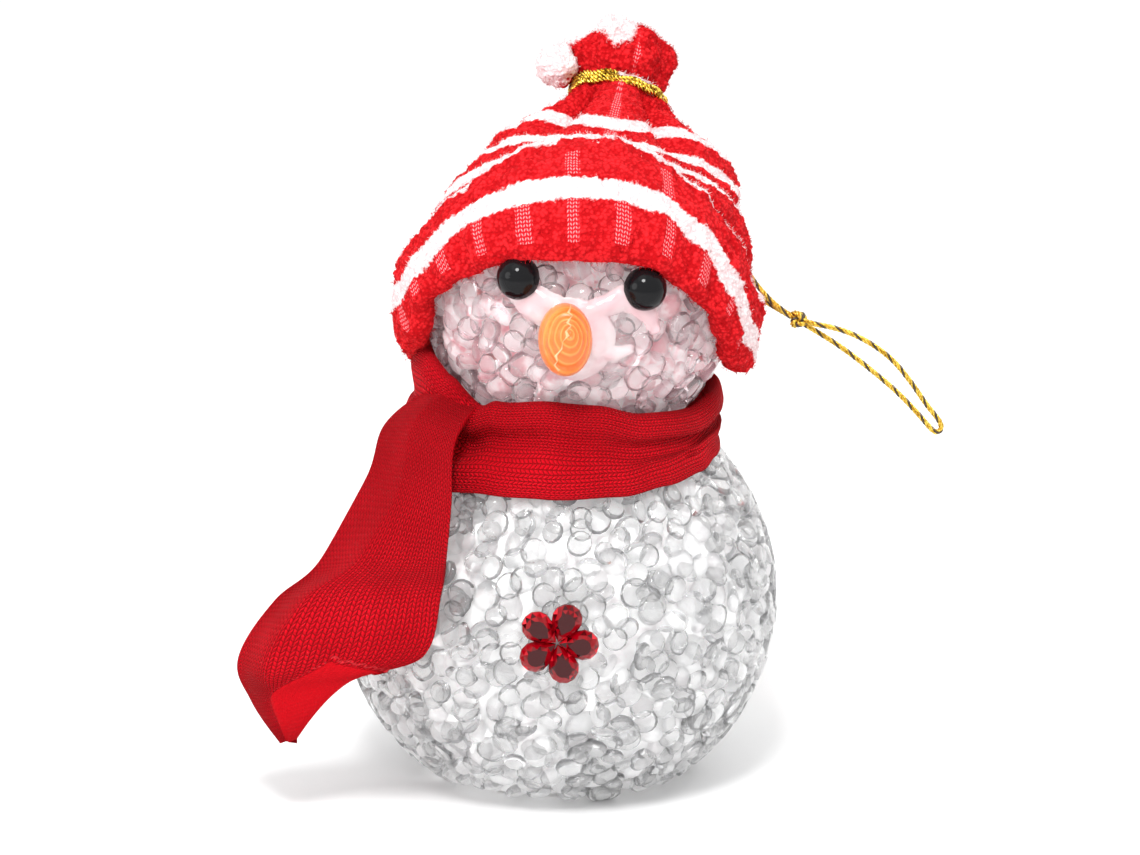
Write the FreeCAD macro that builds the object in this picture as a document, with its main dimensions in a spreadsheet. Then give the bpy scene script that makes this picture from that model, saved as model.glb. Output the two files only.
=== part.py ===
import FreeCAD, Part
import math
import os

import Sketcher

Vector = FreeCAD.Vector
Rotation = FreeCAD.Rotation
Placement = FreeCAD.Placement

# A light-up snowman ornament: two balls of fused clear pellets on a plug-in base with
# a colour-changing lamp, a knitted hat gathered by a gold cord, and a knitted scarf.
# Millimetres, +Z up, the face looks along -Y, origin at the middle of the base's foot.

doc = FreeCAD.newDocument("crystal_snowman")
sheet = doc.addObject("Spreadsheet::Sheet", "Dim")

SIZES = {
    # crystal balls
    "body_radius": 32.5,
    "foot_radius": 19.5,
    "head_radius": 22.7,
    "neck_radius": 15.3,
    "head_lean": 3.92,
    "crystal_wall": 4.0,
    "port_radius": 8.6,
    # gaps: between rigid pieces, and round soft ones
    "fit_gap": 0.2,
    "soft_gap": 0.3,
    "touch_gap": 0.05,
    # face
    "eye_radius": 3.1,
    "eye_rim": 0.3,
    "eye_pad": 0.3,
    "eye_pad_radius": 2.2,
    "left_eye_azimuth": -22.7,
    "left_eye_elevation": 17.5,
    "right_eye_azimuth": 23.9,
    "right_eye_elevation": 13.6,
    "nose_width": 7.9,
    "nose_depth": 10.3,
    "nose_length": 7.0,
    "nose_azimuth": -5.5,
    "nose_elevation": -4.0,
    "nose_swing": 7.0,
    "nose_rise": 14.0,
    "glue_skirt": 2.4,
    "skirt_swing": 3.5,
    "glue_height": 3.6,
    "glue_web": 0.6,
    "web_gap": 0.5,
    "web_depth": 3.2,
    "web_elevation": 10.7,
    # flower
    "flower_elevation": 4.7,
    "flower_twist": -4.0,
    "flower_height": 2.3,
    "petal_start": 0.8,
    "petal_end": 5.7,
    "petal_width": 4.1,
    "petal_taper": 24.0,
    "petals": 5.0,
    "flower_hub_radius": 2.3,
    "flower_hub_height": 1.1,
    "flower_pad": 0.35,
    "flower_pad_radius": 2.2,
    # hat
    "hat_thickness": 3.2,
    "brim_tilt": 45.6,
    "brim_angle": 21.5,
    "hat_foot_rise": 6.1,
    "gather_tilt": 34.4,
    "gather_heading": 18.6,
    "gather_stand": 5.55,
    "gather_radius": 6.4,
    "tie_wire": 0.9,
    "tie_turns": 2.0,
    # scarf
    "low_roll_out": 4.6,
    "low_roll_minor": 4.2,
    "low_roll_drop": 4.5,
    "top_roll_out": 3.3,
    "top_roll_minor": 3.6,
    "top_roll_rise": 1.9,
    "scarf_thickness": 3.2,
    # hanging cord
    "cord_diameter": 0.85,
    "knot_length": 3.4,
    "knot_radius": 1.5,
    # base
    "base_radius": 15.8,
    "base_floor": 2.2,
    "base_wall": 1.3,
    "base_skirt": 7.0,
    "glue_ring": 1.2,
    # battery bay and cells
    "cell_radius": 5.8,
    "cell_thickness": 3.1,
    "cell_count": 3.0,
    "bay_wall": 1.1,
    "bay_start": -12.6,
    "contact_plate": 0.3,
    "spring_length": 1.3,
    "spring_wire": 0.35,
    "spring_radius": 3.4,
    "tab_width": 1.2,
    "tab_rise": 1.0,
    # cover and screw
    "cover_thickness": 1.4,
    "cover_ledge": 1.0,
    "screw_out": 9.9,
    "ear_radius": 3.0,
    "screw_head_radius": 1.8,
    "screw_head": 0.7,
    "screw_radius": 0.95,
    "screw_length": 4.6,
    "boss_radius": 2.3,
    "cross_slot": 0.4,
    # switch
    "switch_out": 8.8,
    "switch_length": 8.6,
    "switch_depth": 4.4,
    "switch_height": 4.6,
    "switch_travel": 2.0,
    "knob_side": 1.6,
    "knob_sink": 0.3,
    "knob_bite": 0.9,
    "finger_pocket": 1.4,
    "terminal_pitch": 2.5,
    "terminal_side": 0.5,
    "terminal_rise": 2.6,
    # lamp
    "board_length": 9.0,
    "board_width": 8.0,
    "board_thickness": 1.0,
    "post_rise": 1.3,
    "lamp_radius": 2.5,
    "lamp_flange": 2.9,
    "lamp_body": 6.2,
    "lamp_lift": 1.2,
    "lead_side": 0.5,
    "lead_pitch": 2.54,
    "wire_diameter": 1.0,
}
for row, (alias, number) in enumerate(SIZES.items(), start=1):
    sheet.set("A%d" % row, alias)
    sheet.set("B%d" % row, str(number))
    sheet.setAlias("B%d" % row, alias)
doc.recompute()

SUBPARTS = []


def value(expression):
    """Number that a sheet expression stands for now."""
    result = sheet.evalExpression(expression)
    return float(getattr(result, "Value", result))


def bind(item, **expressions):
    """Tie properties of an object to expressions on the sheet."""
    for name, expression in expressions.items():
        item.setExpression(name, expression)
    return item


def at(x="0", y="0", z="0", turn="rotation(0; 0; 0)"):
    """Placement expression from three coordinates and a rotation expression."""
    return "placement(vector(%s; %s; %s); %s)" % (x, y, z, turn)


def piece(item, label):
    """Name an object as one physical piece of the ornament."""
    item.Label = label
    SUBPARTS.append(item)
    return item


def ball(name, radius, place):
    item = doc.addObject("Part::Sphere", name)
    return bind(item, Radius=radius, Placement=place)


def rod(name, radius, height, place=at()):
    item = doc.addObject("Part::Cylinder", name)
    return bind(item, Radius=radius, Height=height, Placement=place)


def block(name, length, width, height, place):
    item = doc.addObject("Part::Box", name)
    return bind(item, Length=length, Width=width, Height=height, Placement=place)


def mid_block(name, length, width, height, x="0", y="0", z="0"):
    """Block centred on x and y, standing on z."""
    return block(
        name, length, width, height, at("%s - (%s) / 2" % (x, length), "%s - (%s) / 2" % (y, width), z)
    )


def ring(name, major, minor, place):
    item = doc.addObject("Part::Torus", name)
    return bind(item, Radius1=major, Radius2=minor, Placement=place)


def join(name, items):
    item = doc.addObject("Part::MultiFuse", name)
    item.Shapes = items
    item.Refine = True
    return item


def cut(name, base, tools):
    """Base less all the tools, which are joined first when there are several."""
    item = doc.addObject("Part::Cut", name)
    item.Base = base
    item.Tool = tools[0] if len(tools) == 1 else join(name + "_tools", tools)
    return item


def origin_plane(body, role):
    return [part for part in body.Origin.OriginFeatures if part.Role == role][0]


def outline(body, name, plane, corners):
    """Closed sketch of straight lines whose corners are pairs of sheet expressions."""
    sketch = body.newObject("Sketcher::SketchObject", name)
    sketch.AttachmentSupport = [(origin_plane(body, plane), "")]
    sketch.MapMode = "FlatFace"
    points = [Vector(value(x), value(y), 0) for x, y in corners]
    for number, point in enumerate(points):
        sketch.addGeometry(Part.LineSegment(point, points[(number + 1) % len(points)]))
    for number in range(len(points)):
        sketch.addConstraint(
            Sketcher.Constraint("Coincident", number, 2, (number + 1) % len(points), 1),
        )
    for number, (x, y) in enumerate(corners):
        for kind, expression, here in (
            ("DistanceX", x, points[number].x), ("DistanceY", y, points[number].y)
        ):
            if abs(here) < 1e-9:
                axis = -2 if kind == "DistanceX" else -1
                sketch.addConstraint(Sketcher.Constraint("PointOnObject", number, 1, axis))
            else:
                index = sketch.addConstraint(Sketcher.Constraint(kind, -1, 1, number, 1, here))
                sketch.setExpression("Constraints[%d]" % index, expression)
    return sketch


# Places shared by many pieces.
LEAN = "rotation(vector(0; 1; 0); Dim.head_lean)"
BODY_Z = "sqrt(Dim.body_radius^2 - Dim.foot_radius^2)"
NECK_RISE = "sqrt(Dim.body_radius^2 - Dim.neck_radius^2)"
HEAD_RISE = "(%s + sqrt(Dim.head_radius^2 - Dim.neck_radius^2))" % NECK_RISE
HEAD_X = "(%s * sin(Dim.head_lean))" % HEAD_RISE
HEAD_Z = "(%s + %s * cos(Dim.head_lean))" % (BODY_Z, HEAD_RISE)
HAT_RADIUS = "(Dim.head_radius + Dim.soft_gap + Dim.hat_thickness)"
GATHER_RISE = "(%s + Dim.gather_stand)" % HAT_RADIUS
NECK_Z = "(%s + %s * cos(Dim.head_lean))" % (BODY_Z, NECK_RISE)
BODY = at(z=BODY_Z)
HEAD = at(HEAD_X, "0", HEAD_Z)


def on_lean(rise):
    """Placement on the line through both ball centres, a given rise above the body's centre."""
    x = "(%s) * sin(Dim.head_lean)" % rise
    z = "%s + (%s) * cos(Dim.head_lean)" % (BODY_Z, rise)
    return at(x, "0", z, LEAN)


def facing(x, z, distance, azimuth, elevation, swing="0", rise="0"):
    """Placement whose +Z points out of a ball centred on (x, 0, z), then swings and rises."""
    out_x = "%s + (%s) * sin(%s) * cos(%s)" % (x, distance, azimuth, elevation)
    out_y = "-(%s) * cos(%s) * cos(%s)" % (distance, azimuth, elevation)
    out_z = "%s + (%s) * sin(%s)" % (z, distance, elevation)
    turn = "rotation(%s + %s; 0; 90 - (%s) - (%s))" % (azimuth, swing, elevation, rise)
    return at(out_x, out_y, out_z, turn)


# Crystal balls: hollow, open to each other through the neck and to the base below.
def crystal_body():
    whole = ball("body_ball", "Dim.body_radius", BODY)
    tools = [
        ball("body_hollow", "Dim.body_radius - Dim.crystal_wall", BODY),
        mid_block(
            "body_foot",
            "4 * Dim.body_radius",
            "4 * Dim.body_radius",
            "Dim.body_radius",
            z="-Dim.body_radius",
        ),
        rod("body_mouth", "Dim.base_radius + Dim.fit_gap", "2 * Dim.base_skirt", at(z="-Dim.fit_gap")),
        rod("body_neck", "Dim.body_radius", "Dim.body_radius", on_lean(NECK_RISE)),
        rod("body_port", "Dim.port_radius", "Dim.body_radius", on_lean("Dim.body_radius / 2")),
    ]
    piece(cut("body_shell", whole, tools), "crystal_body")


def crystal_head():
    whole = ball("head_ball", "Dim.head_radius", HEAD)
    below_neck = on_lean(NECK_RISE + " - Dim.head_radius")
    tools = [
        ball("head_hollow", "Dim.head_radius - Dim.crystal_wall", HEAD),
        rod("head_neck", "2 * Dim.head_radius", "Dim.head_radius", below_neck),
        rod("head_port", "Dim.port_radius", "1.4 * Dim.head_radius", below_neck),
    ]
    piece(cut("head_shell", whole, tools), "crystal_head")


# Eyes: half-round glossy beads with a short rim, each on a pad of glue.
def eye(side):
    azimuth = "Dim.%s_eye_azimuth" % side
    elevation = "Dim.%s_eye_elevation" % side
    back = "Dim.head_radius + Dim.eye_pad"
    rim = rod(side + "_eye_rim", "Dim.eye_radius", "Dim.eye_rim")
    dome = ball(side + "_eye_dome", "Dim.eye_radius", at(z="Dim.eye_rim"))
    below = rod(
        side + "_eye_below", "2 * Dim.eye_radius", "2 * Dim.eye_radius", at(z="-2 * Dim.eye_radius")
    )
    bead = cut(side + "_eye_bead", join(side + "_eye_whole", [rim, dome]), [below])
    bind(bead, Placement=facing(HEAD_X, HEAD_Z, back, azimuth, elevation))
    piece(bead, side + "_eye")
    pad_place = facing(HEAD_X, HEAD_Z, "Dim.head_radius", azimuth, elevation)
    return rod(side + "_eye_pad", "Dim.eye_pad_radius", "Dim.eye_pad", pad_place)


def eye_room(name, side, gap):
    """Rod that keeps another piece clear of an eye by a gap."""
    azimuth = "Dim.%s_eye_azimuth" % side
    elevation = "Dim.%s_eye_elevation" % side
    place = facing(HEAD_X, HEAD_Z, "Dim.head_radius", azimuth, elevation)
    return rod("%s_%s_eye_room" % (name, side), "Dim.eye_radius + " + gap, HAT_RADIUS, place)


def eyes():
    pads = [eye("left"), eye("right")]
    piece(join("eye_pads", pads), "eye_glue")


# Nose: a stubby oval carrot swung to one side, lofted from four ovals.
NOSE_SECTIONS = ((0.0, 0.86), (0.3, 1.0), (0.66, 0.88), (0.9, 0.55), (1.0, 0.2))


def nose_place():
    distance = "Dim.head_radius - 0.5"
    return facing(
        HEAD_X,
        HEAD_Z,
        distance,
        "Dim.nose_azimuth",
        "Dim.nose_elevation",
        "Dim.nose_swing",
        "Dim.nose_rise",
    )


def oval(name, half_width, half_depth, place):
    """Ellipse standing taller than it is wide once it faces out of the head."""
    item = doc.addObject("Part::Ellipse", name)
    return bind(item, MajorRadius=half_depth, MinorRadius=half_width, Placement=place)


def nose():
    sections = []
    for number, (along, share) in enumerate(NOSE_SECTIONS):
        place = at(z="%g * Dim.nose_length" % along, turn="rotation(90; 0; 0)")
        half_width = "%g * Dim.nose_width / 2" % share
        half_depth = "%g * Dim.nose_depth / 2" % share
        sections.append(oval("nose_oval_%d" % number, half_width, half_depth, place))
    carrot = doc.addObject("Part::Loft", "carrot")
    carrot.Sections = sections
    carrot.Solid = True
    bind(carrot, Placement=nose_place())
    seat = ball("nose_seat", "Dim.head_radius + Dim.touch_gap", HEAD)
    seated = cut("seated_nose", carrot, [seat])
    piece(seated, "carrot_nose")
    return seated


def nose_room(name):
    """Room for the nose where the scarf comes up under it."""
    return rod(name, "Dim.nose_depth / 2 + Dim.soft_gap", "Dim.nose_length + Dim.soft_gap", nose_place())


# Hot glue: a skirt round the nose, with a web above it that reaches towards both eyes.
def glue_cone(name, spare):
    """The glue's skirt round the nose, grown by a spare all round."""
    azimuth = "Dim.nose_azimuth + Dim.skirt_swing"
    return bind(
        doc.addObject("Part::Cone", name),
        Radius1="Dim.nose_width / 2 + Dim.glue_skirt + 1 + " + spare,
        Radius2="Dim.nose_width / 2 + 0.3 + " + spare,
        Height="Dim.glue_height + 2 + " + spare,
        Placement=facing(HEAD_X, HEAD_Z, "Dim.head_radius - 2", azimuth, "Dim.nose_elevation"),
    )


def brim_side(name, turn, gap):
    """All that lies on one side of the hat's brim, moved down from it by a gap."""
    offset = "(%s * sin(Dim.brim_angle) + %s)" % (HAT_RADIUS, gap)
    y = "-%s * sin(Dim.brim_tilt)" % offset
    z = "%s - %s * cos(Dim.brim_tilt)" % (HEAD_Z, offset)
    return rod(name, "2 * " + HAT_RADIUS, "3 * " + HAT_RADIUS, at(HEAD_X, y, z, turn))


def face_glue(carrot):
    skirt = glue_cone("glue_skirt", "0")
    layer = ball("web_layer", "Dim.head_radius + Dim.glue_web", HEAD)
    reach = "(Dim.head_radius * sin(Dim.right_eye_azimuth) - Dim.eye_radius - Dim.web_gap)"
    band_place = at(
        "%s - %s" % (HEAD_X, reach),
        "-2 * Dim.head_radius",
        "%s + Dim.head_radius * sin(Dim.web_elevation)" % HEAD_Z,
    )
    band = block("web_band", "2 * " + reach, "2 * Dim.head_radius", "Dim.web_depth", band_place)
    web = doc.addObject("Part::MultiCommon", "glue_web")
    web.Shapes = [layer, band]
    tools = [
        ball("glue_head_room", "Dim.head_radius + Dim.touch_gap", HEAD),
        carrot,
        brim_side("glue_brim_room", "rotation(0; 0; -Dim.brim_tilt)", "Dim.soft_gap"),
    ]
    tools += [eye_room("glue", side, "Dim.touch_gap") for side in ("left", "right")]
    glue = cut("hot_glue", join("glue_lump", [skirt, web]), tools)
    piece(glue, "face_glue")


# Flower: five faceted petals pressed as one gem, on a pad of glue.
def flower():
    body = doc.addObject("PartDesign::Body", "flower")
    middle = "(Dim.petal_start + Dim.petal_end) / 2"
    half = "Dim.petal_width / 2"
    corners = [
        ("Dim.petal_start", "0"),
        (middle + " - 0.9", "-0.75 * " + half),
        (middle + " + 0.5", "-" + half),
        ("Dim.petal_end - 0.5", "-0.6 * " + half),
        ("Dim.petal_end", "0"),
        ("Dim.petal_end - 0.5", "0.6 * " + half),
        (middle + " + 0.5", half),
        (middle + " - 0.9", "0.75 * " + half),
    ]
    sketch = outline(body, "petal_outline", "XY_Plane", corners)
    bind(sketch, AttachmentOffset="placement(vector(0; 0; 0); rotation(Dim.flower_twist; 0; 0))")
    petal = body.newObject("PartDesign::Pad", "petal")
    petal.Profile = sketch
    bind(petal, Length="Dim.flower_height")
    petal.TaperAngle = -value("Dim.petal_taper")
    doc.recompute()
    spread = body.newObject("PartDesign::PolarPattern", "petals")
    spread.Originals = [petal]
    spread.Axis = (origin_plane(body, "Z_Axis"), [""])
    spread.Angle = 360
    spread.setExpression("Occurrences", "Dim.petals")
    body.Tip = spread
    hub = rod("flower_hub", "Dim.flower_hub_radius", "Dim.flower_hub_height")
    gem = join("gem", [body, hub])
    gem_rise = "Dim.body_radius + Dim.flower_pad"
    bind(gem, Placement=facing("0", BODY_Z, gem_rise, "0", "Dim.flower_elevation"))
    piece(gem, "flower_gem")
    pad_place = facing("0", BODY_Z, "Dim.body_radius", "0", "Dim.flower_elevation")
    piece(rod("flower_pad", "Dim.flower_pad_radius", "Dim.flower_pad", pad_place), "flower_glue")


# Hat: a cuffed cap on the head, its crown gathered behind and above by the tie.
# Each crown section is a share of the gather's rise, and a radius as a share of the hat's.
GATHER_AXIS = "vector(-cos(Dim.gather_heading); sin(Dim.gather_heading); 0)"
GATHER_TURN = "rotation(%s; Dim.gather_tilt)" % GATHER_AXIS
TOP_ROLL = NECK_RISE + " + Dim.top_roll_rise"
CROWN_SECTIONS = ((0.3, 0.92), (0.45, 0.87), (0.6, 0.76), (0.75, 0.58), (0.88, 0.4))
TUFT_SECTIONS = ((2.5, 1.12), (5.0, 1.25), (8.5, 1.2), (10.6, 0.9), (11.5, 0.5))


def on_gather(rise):
    """Placement on the hat's gather line, a given distance from the head's centre."""
    x = "%s + (%s) * sin(Dim.gather_tilt) * sin(Dim.gather_heading)" % (HEAD_X, rise)
    y = "(%s) * sin(Dim.gather_tilt) * cos(Dim.gather_heading)" % rise
    z = "%s + (%s) * cos(Dim.gather_tilt)" % (HEAD_Z, rise)
    return at(x, y, z, GATHER_TURN)


def circle(name, radius, place):
    item = doc.addObject("Part::Circle", name)
    return bind(item, Radius=radius, Placement=place)


def hat():
    sections = []
    for along, share in CROWN_SECTIONS:
        rise = "%g * %s" % (along, GATHER_RISE)
        sections.append(circle("crown_ring", "%g * %s" % (share, HAT_RADIUS), on_gather(rise)))
    for side in ("-", "+"):
        rise = "%s %s 1.2 * Dim.tie_wire" % (GATHER_RISE, side)
        sections.append(circle("gather_ring", "Dim.gather_radius", on_gather(rise)))
    for above, share in TUFT_SECTIONS:
        rise = "%s + %g" % (GATHER_RISE, above)
        sections.append(circle("tuft_ring", "%g * Dim.gather_radius" % share, on_gather(rise)))
    crown = doc.addObject("Part::Loft", "crown")
    crown.Sections = sections
    crown.Solid = True
    crown.Ruled = True
    cap = ball("hat_cap", HAT_RADIUS, HEAD)
    tools = [
        ball("hat_hollow", "Dim.head_radius + Dim.soft_gap", HEAD),
        brim_side("brim_cut", "rotation(0; 0; 180 - Dim.brim_tilt)", "0"),
        mid_block(
            "foot_cut", "6 * " + HAT_RADIUS, "6 * " + HAT_RADIUS, NECK_Z + " + Dim.hat_foot_rise"
        ),
        ring(
            "hat_roll_room",
            "Dim.neck_radius + Dim.top_roll_out",
            "Dim.top_roll_minor + Dim.soft_gap",
            on_lean(TOP_ROLL),
        ),
    ]
    tools += [eye_room("hat", side, "Dim.soft_gap") for side in ("left", "right")]
    piece(cut("hat", join("hat_whole", [cap, crown]), tools), "knit_hat")


# Tie: turns of the gold cord round the hat's gather.
def hat_tie():
    turns = []
    for number in range(int(value("Dim.tie_turns"))):
        rise = "%s + (%d - (Dim.tie_turns - 1) / 2) * 0.85 * Dim.tie_wire" % (GATHER_RISE, number)
        turns.append(
            ring(
                "tie_turn", "Dim.gather_radius + Dim.tie_wire / 2", "Dim.tie_wire / 2", on_gather(rise)
            ),
        )
    piece(join("tie", turns), "hat_tie")


# Scarf: one knitted strip, two rolls round the neck and an end that hangs over the body.
# Each line across the hanging end runs from its left edge to its right edge. An edge is an
# azimuth and elevation seen from the body's centre and a stand-off from the crystal.
TAIL_LINES = (
    ((-64.0, 57.0, 5.0), (-42.0, 60.0, 2.5), 1.1),
    ((-59.0, 46.0, 7.2), (-37.5, 49.0, 5.0), 1.1),
    ((-52.9, 34.6, 7.7), (-29.2, 35.2, 5.3), 1.1),
    ((-56.6, 16.2, 9.1), (-27.3, 22.1, 5.2), 1.0),
    ((-63.7, 6.3, 12.9), (-28.0, 15.1, 3.9), 1.0),
    ((-66.6, -4.5, 18.1), (-31.9, -0.2, 2.9), 0.95),
    ((-63.5, -10.8, 17.8), (-44.0, -7.7, 6.8), 0.9),
    ((-57.7, -17.5, 16.6), (-54.5, -17.5, 14.4), 0.8),
)
TAIL_SIDES = 16


def tail_point(edge):
    azimuth, elevation, stand_off = edge
    reach = value("Dim.body_radius") + stand_off
    level = reach * math.cos(math.radians(elevation))
    x = level * math.sin(math.radians(azimuth))
    y = -level * math.cos(math.radians(azimuth))
    return Vector(x, y, value(BODY_Z) + reach * math.sin(math.radians(elevation)))


def tail_section(middle, across, along, thick):
    """Flat oval with many short sides, square to the way the strip hangs."""
    through = along.cross(across).normalize() * (thick * value("Dim.scarf_thickness") / 2)
    item = doc.addObject("Part::Polygon", "tail_line")
    turns = [2 * math.pi * number / TAIL_SIDES for number in range(TAIL_SIDES)]
    item.Nodes = [middle + across * (math.cos(turn) / 2) + through * math.sin(turn) for turn in turns]
    item.Close = True
    return item


def tail():
    middles = [(tail_point(left) + tail_point(right)) * 0.5 for left, right, thick in TAIL_LINES]
    sections = []
    for number, (left, right, thick) in enumerate(TAIL_LINES):
        along = middles[min(number + 1, len(middles) - 1)] - middles[max(number - 1, 0)]
        across = tail_point(right) - tail_point(left)
        sections.append(tail_section(middles[number], across, along, thick))
    item = doc.addObject("Part::Loft", "tail")
    item.Sections = sections
    item.Solid = True
    item.Ruled = True
    return item


def scarf():
    low = on_lean(NECK_RISE + " - Dim.low_roll_drop")
    top = on_lean(TOP_ROLL)
    rolls = [
        ring("low_roll", "Dim.neck_radius + Dim.low_roll_out", "Dim.low_roll_minor", low),
        ring("top_roll", "Dim.neck_radius + Dim.top_roll_out", "Dim.top_roll_minor", top),
        tail(),
    ]
    rooms = [
        ball("scarf_body_room", "Dim.body_radius + Dim.soft_gap", BODY),
        ball("scarf_head_room", "Dim.head_radius + Dim.soft_gap", HEAD),
        glue_cone("scarf_glue_room", "Dim.soft_gap"),
        nose_room("scarf_nose_room"),
    ]
    piece(cut("scarf", join("scarf_whole", rolls), rooms), "knit_scarf")


# Gold hanging cord: from the tie down behind the hat to a knot, a loop with a tight fold
# at its tip, back through the knot and up to the tie. Straight runs joined by arcs.
CORD_ROUTE = (
    (15.4, 20.2, 94.2),
    (19.6, 19.8, 88.0),
    (24.2, 17.2, 81.0),
    (26.6, 15.6, 74.4),
    (29.4, 13.6, 69.8),
    (33.2, 10.9, 66.4),
    (37.0, 9.6, 64.9),
    (41.6, 9.6, 64.1),
    (45.9, 9.7, 62.2),
    (49.7, 9.8, 59.4),
    (52.6, 9.9, 55.8),
    (55.0, 10.0, 52.2),
    (57.6, 10.0, 49.1),
    (56.5, 10.0, 47.6),
    (54.0, 10.2, 50.6),
    (50.6, 10.4, 54.2),
    (46.2, 10.5, 57.9),
    (41.9, 10.6, 61.2),
    (37.4, 10.7, 64.0),
    (33.0, 12.0, 66.3),
    (28.9, 15.2, 68.2),
    (26.0, 18.0, 72.4),
    (24.2, 20.2, 78.6),
    (20.6, 22.4, 85.4),
    (15.4, 23.6, 91.9),
)


def tube(name, route, diameter):
    """Round tube along straight runs, each corner an arc as large as its two runs allow."""
    points = [Vector(*point) for point in route]
    edges = []
    radii = []
    start = points[0]
    for before, corner, after in zip(points, points[1:], points[2:]):
        inward = (corner - before).normalize()
        outward = (after - corner).normalize()
        turn = inward.getAngle(outward)
        reach = 0.45 * min((corner - before).Length, (after - corner).Length)
        radii.append(reach / math.tan(turn / 2))
        first = corner - inward * reach
        last = corner + outward * reach
        bisector = (outward - inward).normalize()
        middle = corner + bisector * (radii[-1] * (1 / math.cos(turn / 2) - 1))
        edges.append(Part.LineSegment(start, first).toShape())
        edges.append(Part.Arc(first, middle, last).toShape())
        start = last
    edges.append(Part.LineSegment(start, points[-1]).toShape())
    path = Part.Wire(edges)
    profile = Part.Wire([Part.Circle(points[0], points[1] - points[0], diameter / 2).toShape()])
    solid = path.makePipeShell([profile], True, False)
    expected = math.pi * diameter**2 / 4 * path.Length
    print("%s: length %.1f, radii %s" % (name, path.Length, ["%.1f" % radius for radius in radii]))
    if abs(solid.Volume / expected - 1) > 0.01:
        raise ValueError("%s: its volume is not its section times its length" % name)
    item = doc.addObject("Part::Feature", name)
    item.Shape = solid
    return item


def hanging_cord():
    piece(tube("cord", CORD_ROUTE, value("Dim.cord_diameter")), "hanging_cord")
    place = at("35.6", "10.3", "65.3", "rotation(0; 118; 0)")
    knot = doc.addObject("Part::Ellipsoid", "knot")
    half = "Dim.knot_length / 2"
    bind(knot, Radius1=half, Radius2="Dim.knot_radius", Radius3="Dim.knot_radius", Placement=place)
    piece(knot, "cord_knot")


# Battery bay: its cells lie in a row along Y between two contact plates.
BAY_LENGTH = "(Dim.cell_count * Dim.cell_thickness + 2 * Dim.contact_plate + Dim.spring_length)"
BAY_WIDTH = "(2 * (Dim.cell_radius + 0.3))"
BAY_Y = "(Dim.bay_start + %s / 2)" % BAY_LENGTH
CELL_Z = "(Dim.cover_thickness + 0.2 + Dim.cell_radius)"
BAY_ROOF = "(%s + Dim.cell_radius + 0.3)" % CELL_Z
ROOF_TOP = "(%s + Dim.bay_wall)" % BAY_ROOF
BOARD_Z = "(%s + Dim.post_rise)" % ROOF_TOP
EAR_Y = BAY_Y
TAB_X = "(Dim.cell_radius - Dim.tab_width)"
LEAN_BACK = "rotation(0; 0; -90)"


def cover_shape(name, spare, height, z="0"):
    """Rectangle with a round ear for the screw, grown by a spare all round."""
    length = "%s + 2 * Dim.cover_ledge + 2 * (%s)" % (BAY_WIDTH, spare)
    width = "%s - 0.4 + 2 * (%s)" % (BAY_LENGTH, spare)
    plate = mid_block(name + "_plate", length, width, height, y=BAY_Y, z=z)
    ear = rod(name + "_ear", "Dim.ear_radius + (%s)" % spare, height, at("Dim.screw_out", EAR_Y, z))
    return join(name, [plate, ear])


def base_housing():
    floor = rod("base_disc", "Dim.base_radius", "Dim.base_floor")
    skirt = rod("base_skirt", "Dim.base_radius", "Dim.base_skirt")
    skirt_room = rod(
        "base_skirt_room", "Dim.base_radius - Dim.base_wall", "Dim.base_skirt", at(z="Dim.base_floor")
    )
    rim = cut("base_rim", skirt, [skirt_room])
    wall = "2 * Dim.bay_wall"
    bay_box = mid_block(
        "bay_box", BAY_WIDTH + " + " + wall, BAY_LENGTH + " + " + wall, ROOF_TOP, y=BAY_Y
    )
    bay = doc.addObject("Part::MultiCommon", "bay")
    bay.Shapes = [bay_box, rod("bay_round", "Dim.base_radius", ROOF_TOP)]
    boss = rod(
        "screw_boss",
        "Dim.boss_radius",
        "Dim.screw_length + Dim.cover_thickness",
        at("Dim.screw_out", EAR_Y, "0.2"),
    )
    posts = []
    for side in (-1, 1):
        post_x = "%d * (Dim.board_length / 2 - 1)" % side
        posts.append(
            rod(
                "lamp_post",
                "0.9",
                "Dim.post_rise + Dim.bay_wall",
                at(post_x, BAY_Y + " + 2.5", BAY_ROOF),
            ),
        )
    rail = mid_block(
        "switch_rail",
        "Dim.switch_length + 2",
        "1",
        "3",
        y="Dim.switch_out + Dim.switch_depth / 2 + 0.6",
        z="Dim.base_floor - 0.2",
    )
    solid = join("base_solid", [floor, rim, bay, boss, rail] + posts)
    tab_slot = mid_block(
        "tab_slots", "Dim.tab_width + 0.3", BAY_LENGTH, "4", x=TAB_X, y=BAY_Y, z=BAY_ROOF + " - 1"
    )
    tab_keep = mid_block(
        "tab_keep",
        "Dim.tab_width + 1",
        BAY_LENGTH + " - 1.2",
        "6",
        x=TAB_X,
        y=BAY_Y,
        z=BAY_ROOF + " - 2",
    )
    pocket_y = "Dim.switch_out"
    tools = [
        mid_block("bay_room", BAY_WIDTH, BAY_LENGTH, BAY_ROOF + " + 1", y=BAY_Y, z="-1"),
        cover_shape("cover_room", "Dim.fit_gap", "Dim.cover_thickness + 1", "-1"),
        rod(
            "screw_hole",
            "Dim.screw_radius + Dim.fit_gap / 4",
            "Dim.screw_length",
            at("Dim.screw_out", EAR_Y, "1"),
        ),
        cut("tab_room", tab_slot, [tab_keep]),
        mid_block(
            "finger_pocket",
            "Dim.knob_side + Dim.switch_travel + 3",
            "Dim.knob_side + 2",
            "Dim.finger_pocket + 1",
            y=pocket_y,
            z="-1",
        ),
        mid_block(
            "knob_slot",
            "Dim.knob_side + Dim.switch_travel + 0.6",
            "Dim.knob_side + 0.6",
            "4",
            y=pocket_y,
            z="0",
        ),
    ]
    piece(cut("housing", solid, tools), "base_housing")


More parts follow.
